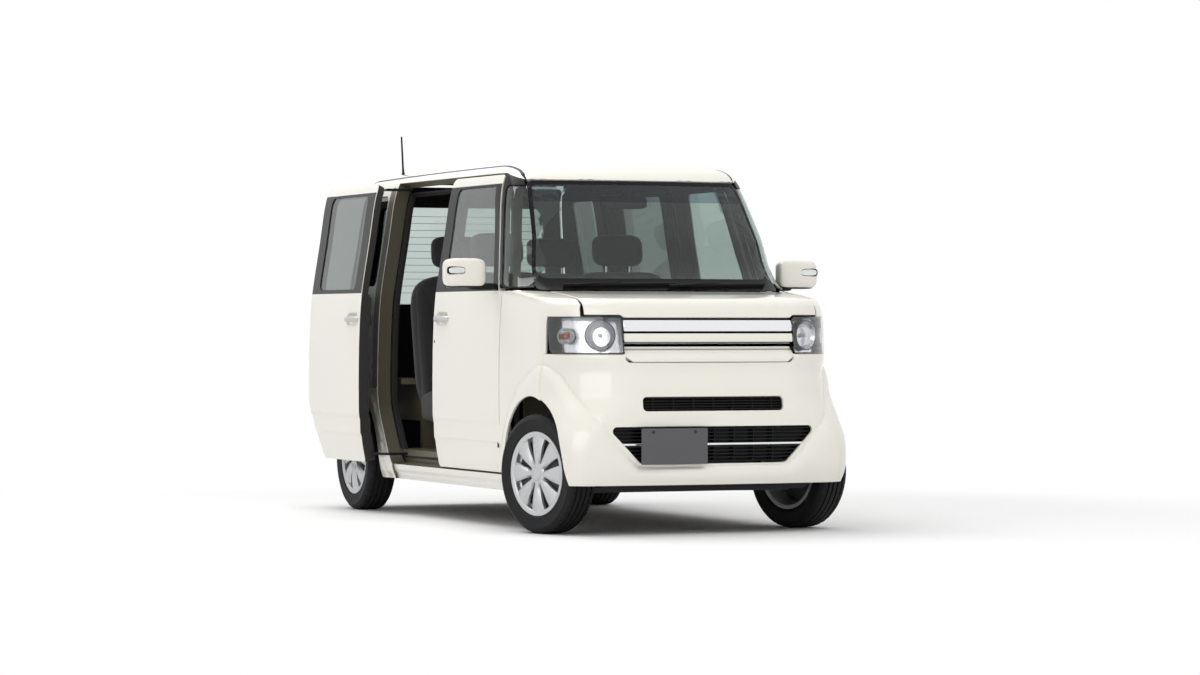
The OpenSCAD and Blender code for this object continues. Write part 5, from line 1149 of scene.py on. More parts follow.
arch_end = 180 + math.degrees(math.asin((WHEEL_R - SILL) / ARCH_R))
arch_start = 180 + math.degrees(math.asin((WHEEL_R - DOOR_FOOT) / ARCH_R))
sill_outline = np.array([(SILL_END_X, SILL)] + arc(FRONT_AXLE_X, ARCH_R, arch_end, arch_start, 8)
                        + [(SILL_END_X, DOOR_FOOT)])
rail_outline = np.vstack([
    line((SEAM_X, DOOR_HEAD), (POST_TOP_X + post_gap, DOOR_HEAD), 30),
    seen_in(side_rays, points_on(pane_rays, [corner_screen])),
    seen_in(side_rays, points_on(roof_rays, line((0.60, ROOF_HALF), (SEAM_X, ROOF_HALF), 40)))])
rear_low = -math.degrees(math.asin((WHEEL_R - SILL) / REAR_ARCH_R))
rear_high = 180 - math.degrees(math.acos((REAR_AXLE_X - BUMPER_FRONT_X) / REAR_ARCH_R))
quarter_outline = on_chart(
    rear_rays,
    (side_rays, line((SEAM_X, DOOR_HEAD), (SEAM_X, 0.60), 24)),
    (side_rays, line((SEAM_X + 0.012, 0.552), (SILL_END_X - 0.008, DOOR_FOOT + 0.008), 12)),
    (side_rays, [(SILL_END_X, DOOR_FOOT), (SILL_END_X, SILL)]),
    (side_rays, arc(REAR_AXLE_X, REAR_ARCH_R, rear_low, rear_high, 36)),
    (side_rays, line((BUMPER_FRONT_X, 0.495), (BUMPER_FRONT_X, REAR_SPLIT), 2)),
    (back_rays, line((GATE_HALF + GAP, REAR_SPLIT), (GATE_HALF + GAP, TAIL_LAMP_LOW - 0.0005), 8)),
    (side_rays, line((LAMP_FRONT_X + 0.0005, TAIL_LAMP_LOW - 0.0005),
                     (LAMP_FRONT_X + 0.0005, TAIL_LAMP_HIGH + 0.0005), 10)),
    (back_rays, line((GATE_HALF + GAP - 0.006, TAIL_LAMP_HIGH + 0.0005),
                     (GATE_HEAD_HALF + GAP, GATE_TOP + 0.004), 16)),
    (roof_rays, line((-1.515, ROOF_HALF), (SEAM_X, ROOF_HALF), 18)))
quarter_window = on_chart(rear_rays, (side_rays, spaced(rounded(REAR_QUARTER), 0.04)))
pillar_outline = on_chart(
    pillar_rays,
    (side_rays, line((POST_TOP_X + post_gap, DOOR_HEAD), (POST_LOW_X + post_gap, BELT + 0.011), 20)),
    (side_rays, line((0.80, BELT + 0.011), (0.93, BELT + 0.011), 6)),
    (pane_rays, line((0.6310, BELT + 0.014), (0.5515, 1.6600), 20)),
    (pane_rays, [corner_screen]))
pillar_window = on_chart(pillar_rays, (side_rays, spaced(rounded(QUARTER), 0.04)))
# On the right, where the sliding door stands open, a strip of the quarter panel's outer skin just behind the
# opening takes the dark inner paint: painted shade of the open door.
PAINTED_SHADE_X, PAINTED_SHADE_LOW, PAINTED_SHADE_HIGH, PAINTED_SHADE_R = -1.070, 0.64, 1.68, 0.03
strip_end_x = SEAM_X - 0.004
painted_shade_corners = [(PAINTED_SHADE_X, PAINTED_SHADE_LOW, PAINTED_SHADE_R), (strip_end_x, PAINTED_SHADE_LOW, PAINTED_SHADE_R),
                (strip_end_x, PAINTED_SHADE_HIGH, PAINTED_SHADE_R), (PAINTED_SHADE_X, PAINTED_SHADE_HIGH, PAINTED_SHADE_R)]
painted_shade_strip = on_chart(rear_rays, (side_rays, spaced(rounded(painted_shade_corners), 0.03)))


def at_seam(p, near=0.002):
    """The edges where sill, rail and quarter panel go on into each other."""
    over_door = (np.abs(p[:, 0] - SEAM_X) < near) & (p[:, 2] > DOOR_HEAD - near)
    under_door = (np.abs(p[:, 0] - SILL_END_X) < near) & (p[:, 2] < DOOR_FOOT)
    return over_door | under_door


BODY_MATS = [paint, inner_paint, lining, gloss_black]
for side in ("right", "left"):
    flip = side == "right"
    sill = panel(f"sill_{side}", side_rays, sill_outline, BODY_MATS, "shell", thick=JAMB, relief=sill_relief,
                 step=0.016, inner_mat=2, rim_mat=1, seam=at_seam, right=flip)
    rail = panel(f"rail_{side}", side_rays, rail_outline, BODY_MATS, "shell", thick=0.045, inner_mat=2,
                 rim_mat=1, seam=at_seam, right=flip)
    # On the right only, that strip of the quarter panel's outer skin is painted dark: painted shade of the
    # open sliding door.
    tail = panel(f"quarter_panel_{side}", rear_rays, quarter_outline, BODY_MATS, "shell",
                 holes=[quarter_window], thick=quarter_depth, relief=rear_flare, inner_mat=2, rim_mat=1,
                 hole_mat=3, seam=at_seam, step=0.02, right=flip, zones=[(painted_shade_strip, 1)] if flip else [])
    post = panel(f"front_post_{side}", pillar_rays, pillar_outline, [gloss_black, lining], "shell",
                 holes=[pillar_window], thick=0.035, inner_mat=1, right=flip,
                 fine=[((0.0, 1.13), (0.8, 1.20), 0.009)])
    for made in (sill, rail, tail, post):
        print(made.name, len(made.data.polygons), "faces")
    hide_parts(f"body_side_{side}")

# %% [markdown]
# Inside the door openings runs a flange of painted sheet with a black seal on it. It shows
# wherever a door stands open. A flange is the same side view, sunk by the thickness of the
# door, with the openings a little smaller than the doors.

# %% Flanges and seals in the door openings
LAP, FLANGE_SINK = 0.022, 0.079
flange_outline = rounded([(-1.03, 0.20), (0.81, 0.20), (0.81, BELT), (0.785, BELT), (0.592, 1.690),
                          (-1.03, 1.690)])
openings = [rounded(grown(FRONT_DOOR, -LAP)), rounded(grown(SLIDE_DOOR, -LAP))]
for side in ("right", "left"):
    flip = side == "right"
    panel(f"door_flange_{side}", side_rays, flange_outline, [inner_paint, lining], "shell", holes=openings,
          thick=0.016, sink=FLANGE_SINK, step=0.03, inner_mat=1, right=flip)
    for label, loop in zip(("front", "slide"), openings):
        pairs = spaced(loop, 0.03)
        p, n = surface_with_normals(side_rays, pairs[:, 0], pairs[:, 1])
        bead = [(-0.009, -0.018), (-0.009, 0.004), (-0.004, 0.011), (0.004, 0.011), (0.008, 0.003),
                (0.008, -0.018)]
        swept(f"{label}_door_seal_{side}", p - n * FLANGE_SINK, n, bead, [rubber], "shell", closed=True,
              right=flip)
print("flanges done")

# %% [markdown]
# Roof: a wide sheet with a crown, and two dark mouldings that fill the ditches where it is
# welded to the sides. Its lining is dark, which keeps the cabin dark through the glass.

# %% Roof
roof_outline = np.vstack([
    seen_in(roof_rays, points_on(pane_rays,
                                 line((-ROOF_HALF + 0.004, 1.6645), (ROOF_HALF - 0.004, 1.6645), 24))),
    [(x, ROOF_HALF - 0.0012) for x in np.linspace(0.60, -1.50, 40)],
    seen_in(roof_rays, points_on(back_rays,
                                 line((ROOF_HALF - 0.010, GATE_TOP + 0.012),
                                      (-ROOF_HALF + 0.010, GATE_TOP + 0.012), 24))),
    [(x, -ROOF_HALF + 0.0012) for x in np.linspace(-1.50, 0.60, 40)]])
roof = panel("roof_skin", roof_rays, roof_outline, [paint, lining], "shell", step=0.03, inner_mat=1,
             thick=lambda flat: 0.003 + 0.017 * smooth(-1.42, -1.34, flat[:, 0]))
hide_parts("roof_panel")
for side in ("right", "left"):
    strip(f"roof_moulding_{side}", roof_rays, line((0.655, ROOF_HALF), (-1.50, ROOF_HALF), 40), 0.014, 0.003,
          [gloss_black], "shell", sink=0.001, right=side == "right")
print("roof", len(roof.data.polygons), "faces")

# %% [markdown]
# Glass is a thin pane sunk a little below the skin. The windscreen has a black ceramic
# border and a tinted band along its top; both are areas of the same pane with another
# finish. The heating lines of the rear window are fine swept threads.

# %% Glass
PANE_SINK, PANE_T, PANE_GAP = 0.005, 0.004, 0.0008


def pane(name, chart, outline, mat, body, **more):
    """A sheet of glass; its second finish is the black border, its third the tinted band."""
    return panel(name, chart, outline, [mat, gloss_black, shade_glass], body, thick=PANE_T, sink=PANE_SINK,
                 edge=0.001, step=0.04, **more)


border = rounded([(-0.602, 1.190, 0.04), (0.602, 1.190, 0.04), (0.530, 1.643, 0.03), (-0.530, 1.643, 0.03)])
band = rounded([(-0.541, 1.560, 0.01), (0.541, 1.560, 0.01), (0.530, 1.643, 0.03), (-0.530, 1.643, 0.03)])
screen_loop = rounded(grown(SCREEN, -0.0005))
screen = pane("windscreen_pane", pane_rays, screen_loop, clear_glass, "shell",
              zones=[(screen_loop, 1), (border, 0), (band, 2)])
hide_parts("windscreen")
quarter_edge, rear_quarter_edge = [spaced(rounded(grown(corners, -PANE_GAP)), 0.04)
                                   for corners in (QUARTER, REAR_QUARTER)]
quarter_loop = on_chart(pillar_rays, (side_rays, quarter_edge))
rear_quarter_loop = on_chart(rear_rays, (side_rays, rear_quarter_edge))
for side in ("right", "left"):
    flip = side == "right"
    drop = pane(f"front_door_pane_{side}", side_rays, rounded(grown(FRONT_WINDOW, -PANE_GAP)), clear_glass,
                f"front_door_{side}", right=flip)
    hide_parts(f"front_door_glass_{side}")
    slide = pane(f"sliding_door_pane_{side}", side_rays, rounded(grown(SLIDE_WINDOW, -PANE_GAP)), dark_glass,
                 "shell", right=flip, shift=SLIDE_SHIFT if flip else (0, 0, 0))
    small = pane(f"quarter_light_{side}", pillar_rays, quarter_loop, clear_glass, "shell", right=flip)
    pane(f"rear_quarter_light_{side}", rear_rays, rear_quarter_loop, dark_glass, "shell", right=flip)
    if flip:
        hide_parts("sliding_door_glass")
        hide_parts("quarter_glass")
print("panes done")

# %% [markdown]
# The tail is out of sight in the photograph, so it gets what every car of this kind has and
# nothing more: a lifting gate with a window, two upright lamps and a plain bumper.

# %% Tail
GATE = [(-GATE_HALF, REAR_SPLIT, 0.04), (GATE_HALF, REAR_SPLIT, 0.04), (GATE_HALF, BELT, 0.16),
        (GATE_HEAD_HALF, GATE_TOP, 0.03), (-GATE_HEAD_HALF, GATE_TOP, 0.03), (-GATE_HALF, BELT, 0.16)]
REAR_GLASS = [(-0.500, 1.080, 0.04), (0.500, 1.080, 0.04), (0.455, 1.600, 0.04), (-0.455, 1.600, 0.04)]


def gate_depth(flat):
    """Thin along the top, where the gate turns in under the roof."""
    return 0.005 + 0.025 * smooth(GATE_TOP - 0.03, GATE_TOP - 0.09, flat[:, 1])


gate = panel("tailgate_skin", back_rays, rounded(GATE), [paint, lining, gloss_black], "tailgate",
             holes=[rounded(REAR_GLASS)], thick=gate_depth, step=0.025, edge=0.004, inner_mat=1, hole_mat=2)
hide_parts("tailgate")
window = pane("tailgate_pane", back_rays, rounded(grown(REAR_GLASS, -PANE_GAP)), clear_glass, "tailgate")
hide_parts("tailgate_glass")
for k, z in enumerate(np.linspace(1.14, 1.55, 12)):
    half = 0.47 - (z - 1.08) * 0.086
    pairs = np.array(line((-half, z), (half, z), 12))
    p, n = surface_with_normals(back_rays, pairs[:, 0], pairs[:, 1])
    swept(f"heating_line_{k}", p - n * (PANE_SINK + PANE_T + 0.0005), n,
          [(-0.001, -0.0004), (0.001, -0.0004), (0.001, 0.0004), (-0.001, 0.0004)], [dark_metal], "tailgate")
lamp_outline = on_chart(
    rear_rays,
    (back_rays, line((GATE_HALF + GAP + 0.001, TAIL_LAMP_LOW), (GATE_HALF + GAP + 0.001, BELT - 0.02), 8)),
    (back_rays, [(GATE_HALF + GAP - 0.004, TAIL_LAMP_HIGH)]),
    (side_rays, line((LAMP_FRONT_X, TAIL_LAMP_HIGH), (LAMP_FRONT_X, TAIL_LAMP_LOW), 10)))
for side in ("right", "left"):
    lamp = panel(f"tail_lamp_{side}", rear_rays, lamp_outline, [red_glass], "shell", thick=0.03, step=0.015,
                 edge=0.004, right=side == "right")
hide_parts("tail_lamps")
REAR_BUMPER_LOW, bumper_head = 0.260, REAR_SPLIT - GAP
rear_foot = 180 + math.degrees(math.asin((WHEEL_R - REAR_BUMPER_LOW) / REAR_ARCH_R))
bumper_turn = 180 - math.degrees(math.acos((REAR_AXLE_X - BUMPER_FRONT_X + GAP) / REAR_ARCH_R))
tail_left = np.vstack([
    on_chart(rear_rays, (back_rays, line((0, REAR_BUMPER_LOW), (0.55, REAR_BUMPER_LOW), 12))),
    on_chart(rear_rays, (side_rays, arc(REAR_AXLE_X, REAR_ARCH_R, rear_foot, bumper_turn, 12)[1:])),
    on_chart(rear_rays, (side_rays, [(BUMPER_FRONT_X - GAP, bumper_head)])),
    on_chart(rear_rays, (back_rays, line((0.55, bumper_head), (0, bumper_head), 12)))])
rear_bumper = panel("rear_bumper_skin", rear_rays, both_halves(tail_left), [paint, trim_black],
                    "shell", thick=0.014, relief=rear_flare, step=0.02, edge=0.004, inner_mat=1)
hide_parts("rear_bumper")
print("tail done")

# %% [markdown]
# Wheels. A tyre is a turned profile: sidewall, round shoulder and a tread with grooves.
# The blocks on the shoulder come from pulling every few points of its rings inwards. The
# cover is a dished ring with eight spokes that grow wider outwards and fall away at
# their sides; between them one looks into dark pockets. The round cap is plain.

# %% Tyres and wheel covers
tyre_rubber = finish("tyre_rubber", (0.009, 0.009, 0.0095), 0.62, (700, 0.12), (7, 0.3),
                     Specular_IOR_Level=0.22)
TYRE_HALF, BEAD_R, COVER_R, CAP_R, SPOKES = 0.0775, 0.1785, 0.196, 0.031, 8
TYRE_STEPS, BLOCK_STEP, BLOCK_DEPTH = 180, 4, 0.005


def tread_profile():
    """Radius and height pairs from the inner bead round the tread to the outer one."""
    wall = [(BEAD_R, 0.062), (0.197, 0.067), (0.204, 0.0725), (0.208, 0.0715), (0.232, TYRE_HALF),
            (0.250, 0.0765), (0.252, 0.0775), (0.254, 0.0762), (0.263, 0.0725), (0.2715, 0.066),
            (0.2765, 0.059)]
    tread = []
    for middle in (0.041, 0.014, -0.014, -0.041):
        tread += [(WHEEL_R, middle + 0.0045), (WHEEL_R - 0.007, middle + 0.003),
                  (WHEEL_R - 0.007, middle - 0.003), (WHEEL_R, middle - 0.0045)]
    return wall + tread + [(r, -h) for r, h in wall[::-1]]


def wheel_axes(axis):
    """The axle's direction and two directions square to it."""
    axis = np.array(Vector(axis).normalized())
    side = np.array(Vector(axis).orthogonal().normalized())
    return axis, side, np.cross(axis, side)


def tyre(name, centre, axis, body):
    """A turned tyre whose shoulder is notched into blocks."""
    profile = tread_profile()
    axis, side, up = wheel_axes(axis)
    angles = np.linspace(0, 2 * math.pi, TYRE_STEPS, endpoint=False)
    ring = np.cos(angles)[:, None] * side + np.sin(angles)[:, None] * up
    dip = np.where(np.arange(TYRE_STEPS) % BLOCK_STEP == 0, BLOCK_DEPTH, 0)[:, None]
    verts = []
    for r, h in profile:
        shoulder = r > 0.27 and abs(h) > 0.043 and r > WHEEL_R - 0.006
        verts.append(np.array(centre) + ring * (r - dip * shoulder) + axis * h)
    faces = [(low + j, low + TYRE_STEPS + j, low + TYRE_STEPS + (j + 1) % TYRE_STEPS, low
              + (j + 1) % TYRE_STEPS)
             for low in range(0, (len(profile) - 1) * TYRE_STEPS, TYRE_STEPS) for j in range(TYRE_STEPS)]
    return new_object(name, np.vstack(verts), faces, [tyre_rubber], body)


def cover_height(r):
    """The dish of the cover: highest between hub and rim."""
    return 0.0730 - 0.011 * smooth(0.10, 0.0, r) - 0.009 * smooth(0.12, 0.185, r)


SPOKE_START_R, SPOKE_END_R, SPOKE_STATIONS, SPOKE_ACROSS = 0.030, 0.176, 10, 7
SPOKE_HALF_W, SPOKE_WIDENING = 0.0125, 0.037


def spokes(name, centre, axis, body):
    """All spokes on one mesh; each is a grid of seven points across and ten along."""
    axis, side, up = wheel_axes(axis)
    verts, faces = [], []
    for k in range(SPOKES):
        turn = 2 * math.pi * k / SPOKES
        along = side * math.cos(turn) + up * math.sin(turn)
        across = np.cross(axis, along)
        first = len(verts)
        stations = np.linspace(SPOKE_START_R, SPOKE_END_R, SPOKE_STATIONS)
        for r in stations:
            w = SPOKE_HALF_W + SPOKE_WIDENING * ((r - SPOKE_START_R) / (SPOKE_END_R - SPOKE_START_R)) ** 1.2
            h = float(cover_height(np.array(r)))
            for a, sunk in ((-w, 0.024), (-w, 0.011), (-0.55 * w, 0.0), (0.0, -0.0022), (0.55 * w, 0.0),
                            (w, 0.011), (w, 0.024)):
                verts.append(np.array(centre) + along * r + across * a + axis * (h - sunk))
        for i in range(len(stations) - 1):
            for j in range(SPOKE_ACROSS - 1):
                a = first + i * SPOKE_ACROSS + j
                faces.append((a, a + SPOKE_ACROSS, a + SPOKE_ACROSS + 1, a + 1))
    return new_object(name, verts, faces, [silver], body)


spins = {j["child"]: j for j in frame["joints"] if j["child"].startswith("wheel_")}
for child, joint in spins.items():
    centre = np.array(joint["pos_m"])
    axis = np.array(joint["axis"]) * (1 if centre[1] > 0 else -1)
    rolling = tyre(f"{child}_tyre", centre, axis, child)
    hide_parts(child.replace("wheel", "tyre"))
    lip = [(0.171, 0.040), (0.172, 0.062), (0.176, 0.0665), (0.188, 0.0695), (COVER_R - 0.001, 0.0690),
           (COVER_R, 0.0665), (0.186, 0.058), (0.1775, 0.058), (0.1775, -0.062), (0.190, -0.066),
           (0.190, -0.070), (0.172, -0.066), (0.165, -0.050), (0.160, 0.030), (0.171, 0.040)]
    ring = turned(f"{child}_ring", lip, centre, axis, [silver], child, 96)
    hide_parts(child)
    spokes(f"{child}_spokes", centre, axis, child)
    turned(f"{child}_pocket", [(0.165, 0.034), (0.120, 0.042), (0.052, 0.046), (0.0005, 0.046)], centre, axis,
           [dark_metal], child, 64)
    turned(f"{child}_back", [(0.0005, 0.020), (0.160, 0.020), (0.165, 0.034)], centre, axis, [dark_metal],
           child, 64)
    turned(f"{child}_hub", [(0.052, 0.044), (0.050, 0.060), (0.044, 0.0655), (CAP_R + 0.001, 0.0672),
                            (CAP_R, 0.0655), (CAP_R - 0.0015, 0.0685), (CAP_R * 0.7, 0.0712),
                            (0.0005, 0.0722)], centre, axis, [silver], child, 48)
    print(child, np.round(centre, 3), np.round(axis, 3))

# %% [markdown]
# Soft box shapes return in many small pieces: mirror shells, cushions, head rests. They
# are one form, a ball pushed towards a box by an exponent, which never has a hard edge.

# %% Soft boxes
def soft_box(name, centre, half, mats, body, square=0.4, lean=0.0, steps=(24, 40), right=False, puff=0.0):
    """A ball pushed towards a box; lean moves its top back, puff swells its faces."""
    polar = np.linspace(-math.pi / 2, math.pi / 2, steps[0])
    round_about = np.linspace(0, 2 * math.pi, steps[1], endpoint=False)
    t, f = [a.ravel() for a in np.meshgrid(polar, round_about, indexing="ij")]
    power = lambda v: np.sign(v) * np.abs(v) ** square
    x = power(np.cos(t)) * power(np.cos(f))
    y = power(np.cos(t)) * power(np.sin(f))
    z = power(np.sin(t))
    x = x * (1 + puff * np.cos(y * math.pi / 2) * np.cos(z * math.pi / 2))
    verts = np.stack([x * half[0] - lean * (z + 1) / 2, y * half[1], z * half[2]], 1) + np.array(centre)
    count = steps[1]
    faces = [(low + j, low + (j + 1) % count, low + count + (j + 1) % count, low + count + j)
             for low in range(0, (steps[0] - 1) * count, count) for j in range(count)]
    if right:
        verts[:, 1] *= -1
        faces = [q[::-1] for q in faces]
    made = new_object(name, verts, faces, mats, body)
    made.data.shade_smooth()
    return made


print("soft boxes can be made")

# %% [markdown]
# Door mirrors: a painted shell on a black foot, a clear direction lamp let into its front
# and a flat mirror at its back. The handles are plated bars over the pressed cups.

# %% Mirrors and handles
MIRROR_X, MIRROR_DEEP = 0.712, 0.084
MIRROR_IN, MIRROR_OUT, MIRROR_LOW, MIRROR_HIGH = 0.770, 0.975, 1.146, 1.284
mirror_mid = ((MIRROR_IN + MIRROR_OUT) / 2, (MIRROR_LOW + MIRROR_HIGH) / 2)
mirror_half = ((MIRROR_OUT - MIRROR_IN) / 2, (MIRROR_HIGH - MIRROR_LOW) / 2)
lamp_y, lamp_z = MIRROR_OUT - 0.052, mirror_mid[1] + 0.010
band_y, wide = mirror_mid[0] - 0.006, mirror_half[0] * 0.86
# name, middle, half sizes, finish, exponent (small is square)
MIRROR_PARTS = (
    ("shell", (MIRROR_X, *mirror_mid), (MIRROR_DEEP / 2, *mirror_half), paint, 0.42),
    ("foot", (MIRROR_X - 0.012, 0.775, 1.150), (0.032, 0.072, 0.017), trim_black, 0.45),
    ("band", (MIRROR_X - 0.004, band_y, MIRROR_LOW + 0.007), (0.038, wide, 0.009), trim_black, 0.5),
    ("lamp_rim", (MIRROR_X + 0.0355, lamp_y, lamp_z), (0.008, 0.049, 0.0205), gloss_black, 0.55),
    ("lamp", (MIRROR_X + 0.0365, lamp_y, lamp_z), (0.009, 0.044, 0.0165), lamp_silver, 0.6),
    ("glass", (MIRROR_X - MIRROR_DEEP / 2, *mirror_mid), (0.003, wide, mirror_half[1] * 0.80), chrome, 0.35),
)
HANDLE_T = np.linspace(0, 1, 21)
HANDLE_LENGTH, HANDLE_OUT, HANDLE_HALF_H, HANDLE_HALF_T = 0.190, 0.020, 0.0130, 0.0075
LOCK_X, LOCK_Z = -0.112, 0.885


def handle(name, x, side, body, shift=(0, 0, 0)):
    """A bow-shaped bar over the cup in a door."""
    u = x + (HANDLE_T - 0.5) * HANDLE_LENGTH
    p, n = surface_with_normals(side_rays, u, np.full(len(u), HANDLE_Z))
    out = HANDLE_OUT * np.sin(math.pi * HANDLE_T) ** 0.45 - 0.002
    section = [(HANDLE_HALF_H * math.cos(a), HANDLE_HALF_T * math.sin(a))
               for a in np.linspace(0, 2 * math.pi, 12, endpoint=False)]
    return swept(name, p + n * out[:, None], n, section, [silver], body, right=side == "right", shift=shift)


for side in ("right", "left"):
    flip, door = side == "right", f"front_door_{side}"
    mirror = {part: soft_box(f"mirror_{part}_{side}", centre, half, [mat], door, square, right=flip)
              for part, centre, half, mat, square in MIRROR_PARTS}
    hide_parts(f"mirror_{side}")
    handle(f"front_handle_{side}", FRONT_HANDLE_X, side, door)
    handle(f"slide_handle_{side}", SLIDE_HANDLE_X, side, "shell", SLIDE_SHIFT if flip else (0, 0, 0))
    lock, out = surface_with_normals(side_rays, np.array([LOCK_X]), np.array([LOCK_Z]))
    sign = np.array([1, -1 if flip else 1, 1])
    turned(f"key_hole_{side}", [(0.0005, 0.0018), (0.005, 0.0018), (0.0075, 0.0)], lock[0] * sign,
           out[0] * sign, [dark_metal], door, 20)
print("mirrors and handles done")

# %% [markdown]
# Seats are foam under cloth. Each is built from soft boxes, a cushion, a back with side
# bolsters and a head rest.

# %% Seats
SEAT_Y, SEAT_W, SEAT_TOP, CUSHION_T = 0.330, 0.500, 0.640, 0.180
BACK_T, BACK_LEAN, BACK_TOP, PADDING = 0.150, 0.150, 1.230, 0.85
FRONT_SEAT_X, FRONT_BACK_X, BENCH_X, BENCH_BACK_X = 0.430, -0.080, -0.425, -0.832
BENCH_W, BENCH_HEAD_Y = 1.060, 0.265
HEAD_TOP, HEAD_H, HEAD_W, HEAD_T, FLOOR_Z = 1.430, 0.170, 0.260, 0.110, 0.345


def seat(name, front_x, rear_x, y, wide, heads):
    """One seat with its bolsters and head rests; returns its cushion."""
    deep = front_x - rear_x + BACK_T / 2
    cushion = soft_box(f"{name}_cushion", (front_x - deep / 2, y, SEAT_TOP - CUSHION_T / 2),
                       (deep / 2, wide / 2, CUSHION_T / 2), [cloth], "shell", 0.32, puff=0.02)
    low = SEAT_TOP - CUSHION_T * 0.8
    back = soft_box(f"{name}_back", (rear_x, y, (low + BACK_TOP) / 2),
                    (BACK_T / 2, wide / 2, (BACK_TOP - low) / 2), [cloth], "shell", 0.34, lean=BACK_LEAN,
                    puff=0.06)
    for s in (-1, 1):
        soft_box(f"{name}_bolster_{s}", (rear_x + BACK_T * 0.30, y + s * (wide / 2 - 0.045),
                                                     (low + BACK_TOP) / 2 - 0.02),
                             (BACK_T * 0.30, 0.042, (BACK_TOP - low) / 2 - 0.05), [cloth], "shell", 0.6,
                             lean=BACK_LEAN)
    for k, head_y in enumerate(heads):
        x = rear_x - BACK_LEAN - 0.02
        soft_box(f"{name}_head_{k}", (x, head_y, HEAD_TOP - HEAD_H / 2),
                             (HEAD_T / 2, HEAD_W / 2, HEAD_H / 2), [cloth], "shell", 0.5, lean=0.02)
        for s in (-1, 1):
            turned(f"{name}_stay_{k}_{s}", [(0.006, 0.0), (0.006, 0.10)],
                   (x, head_y + s * HEAD_W / 4, BACK_TOP - 0.03), (0, 0, 1), [chrome], "shell", 12)
    low, high = (rear_x, y - wide * 0.33, FLOOR_Z), (front_x - 0.04, y + wide * 0.33, SEAT_TOP - CUSHION_T
                                                     + 0.03)
    new_object(f"{name}_base", *block(low, high), [trim_black], "shell")
    return cushion


front_seat = [seat(f"front_seat_{s}", FRONT_SEAT_X, FRONT_BACK_X, s * SEAT_Y, SEAT_W, [s * SEAT_Y])
              for s in (-1, 1)]
rear_bench = seat("rear_bench", BENCH_X, BENCH_BACK_X, 0.0, BENCH_W, [-BENCH_HEAD_Y, BENCH_HEAD_Y])
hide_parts("front_seats")
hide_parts("rear_seat")
print("seats done")

# %% [markdown]
# Small things that one would miss: wipers on the windscreen, the inner mirror, the round
# cover of the towing eye, the aerial and the dark fillers at the feet of the screen
# posts. Wipers and cover are laid on the skin; the rest are small forms set in place.

# %% Small pieces
WIPERS = (((-0.50, 1.152), (0.06, 1.160)), ((0.02, 1.150), (0.55, 1.158)))
for k, (start, end) in enumerate(WIPERS):
    strip(f"wiper_blade_{k}", pane_rays, line(start, end, 14), 0.012, 0.012, [rubber], "shell", sink=-0.001)
    arm = line((start[0] + 0.05, start[1] - 0.004), ((start[0] + end[0]) / 2, start[1] + 0.010), 8)
    strip(f"wiper_arm_{k}", pane_rays, arm, 0.009, 0.010, [trim_black], "shell", sink=-0.006)
for side in (-1, 1):
    foot = [(1.045, 0.640, 1.1235), (0.970, 0.675, 1.1265), (0.800, 0.702, 1.1275), (0.790, 0.640, 1.1275),
            (0.930, 0.615, 1.1240), (1.030, 0.612, 1.1190)]
    verts = [(x, y * side, z - drop) for drop in (0, 0.010) for x, y, z in foot]
    count = len(foot)
    faces = [tuple(range(count)), tuple(range(2 * count - 1, count - 1, -1))]
    faces += [(k, k + count, (k + 1) % count + count, (k + 1) % count) for k in range(count)]
    new_object(f"screen_corner_{side}", verts, faces, [trim_black], "shell")
soft_box("inner_mirror", (0.610, 0.0, 1.560), (0.016, 0.115, 0.032), [gloss_black], "shell", 0.45)
soft_box("inner_mirror_stay", (0.655, 0.0, 1.602), (0.040, 0.014, 0.028), [gloss_black], "shell", 0.5)
soft_box("screen_sensor", (0.690, -0.120, 1.622), (0.030, 0.045, 0.018), [trim_black], "shell", 0.6)
eye, eye_out = surface_with_normals(pane_rays, np.array([0.405]), np.array([0.540]), flare)
turned("towing_eye_gap", [(0.0185, 0.0004), (0.0200, 0.0006), (0.0212, 0.0002)], eye[0], eye_out[0],
       [trim_black], "shell", 40)
turned("towing_eye_cover", [(0.0005, 0.0012), (0.0165, 0.0012), (0.0184, 0.0002)], eye[0], eye_out[0],
       [paint], "shell", 40)
AERIAL_FOOT, AERIAL_LEAN = (-1.470, -0.390, 1.748), math.radians(8)
rod = [(0.017, -0.008), (0.0165, 0.004), (0.0095, 0.020), (0.0062, 0.034), (0.0052, 0.060),
       (0.0046, 0.215), (0.0038, 0.2235), (0.0005, 0.225)]
aerial = turned("aerial_rod", rod, AERIAL_FOOT, (-math.sin(AERIAL_LEAN), 0, math.cos(AERIAL_LEAN)),
                [trim_black], "shell", 24)
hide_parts("aerial")
print("small pieces done")

# %% [markdown]
# What is left of the plain solids keeps its shape and takes a finish.

# %% Finishes for the solids that stay
STAYING = {
    "floor_pan": inner_paint, "cowl": trim_black, "slide_gear": trim_black, "dashboard": trim_black,
    "steering_wheel": trim_black, "hinges": dark_metal, "engine": dark_metal, "exhaust": dark_metal,
    "front_suspension": dark_metal, "rear_axle": dark_metal,
    "knuckle_right": dark_metal, "knuckle_left": dark_metal,
}
for name, mat in STAYING.items():
    materials = nodes[name].data.materials
    materials.clear()
    materials.append(mat)
print("finishes set on", len(STAYING), "nodes")

# %% [markdown]
# The studio: a pale floor that fades into a white surround. A photographer would hang
# bent paper; here a flat floor turns into a white glow a few metres away, which keeps
# the shadow and has no bend to see. The camera finds that white straight on, in a
# reflection and through glass. The light that falls on the car is another matter: it
# comes from three soft boxes and a dimmer sky with a bright top, so that curves show.
# The front box is hidden from reflections, or it would stand in the windscreen.

# %% Floor, light and camera
FADE_START, FADE_END = 2.3, 4.2


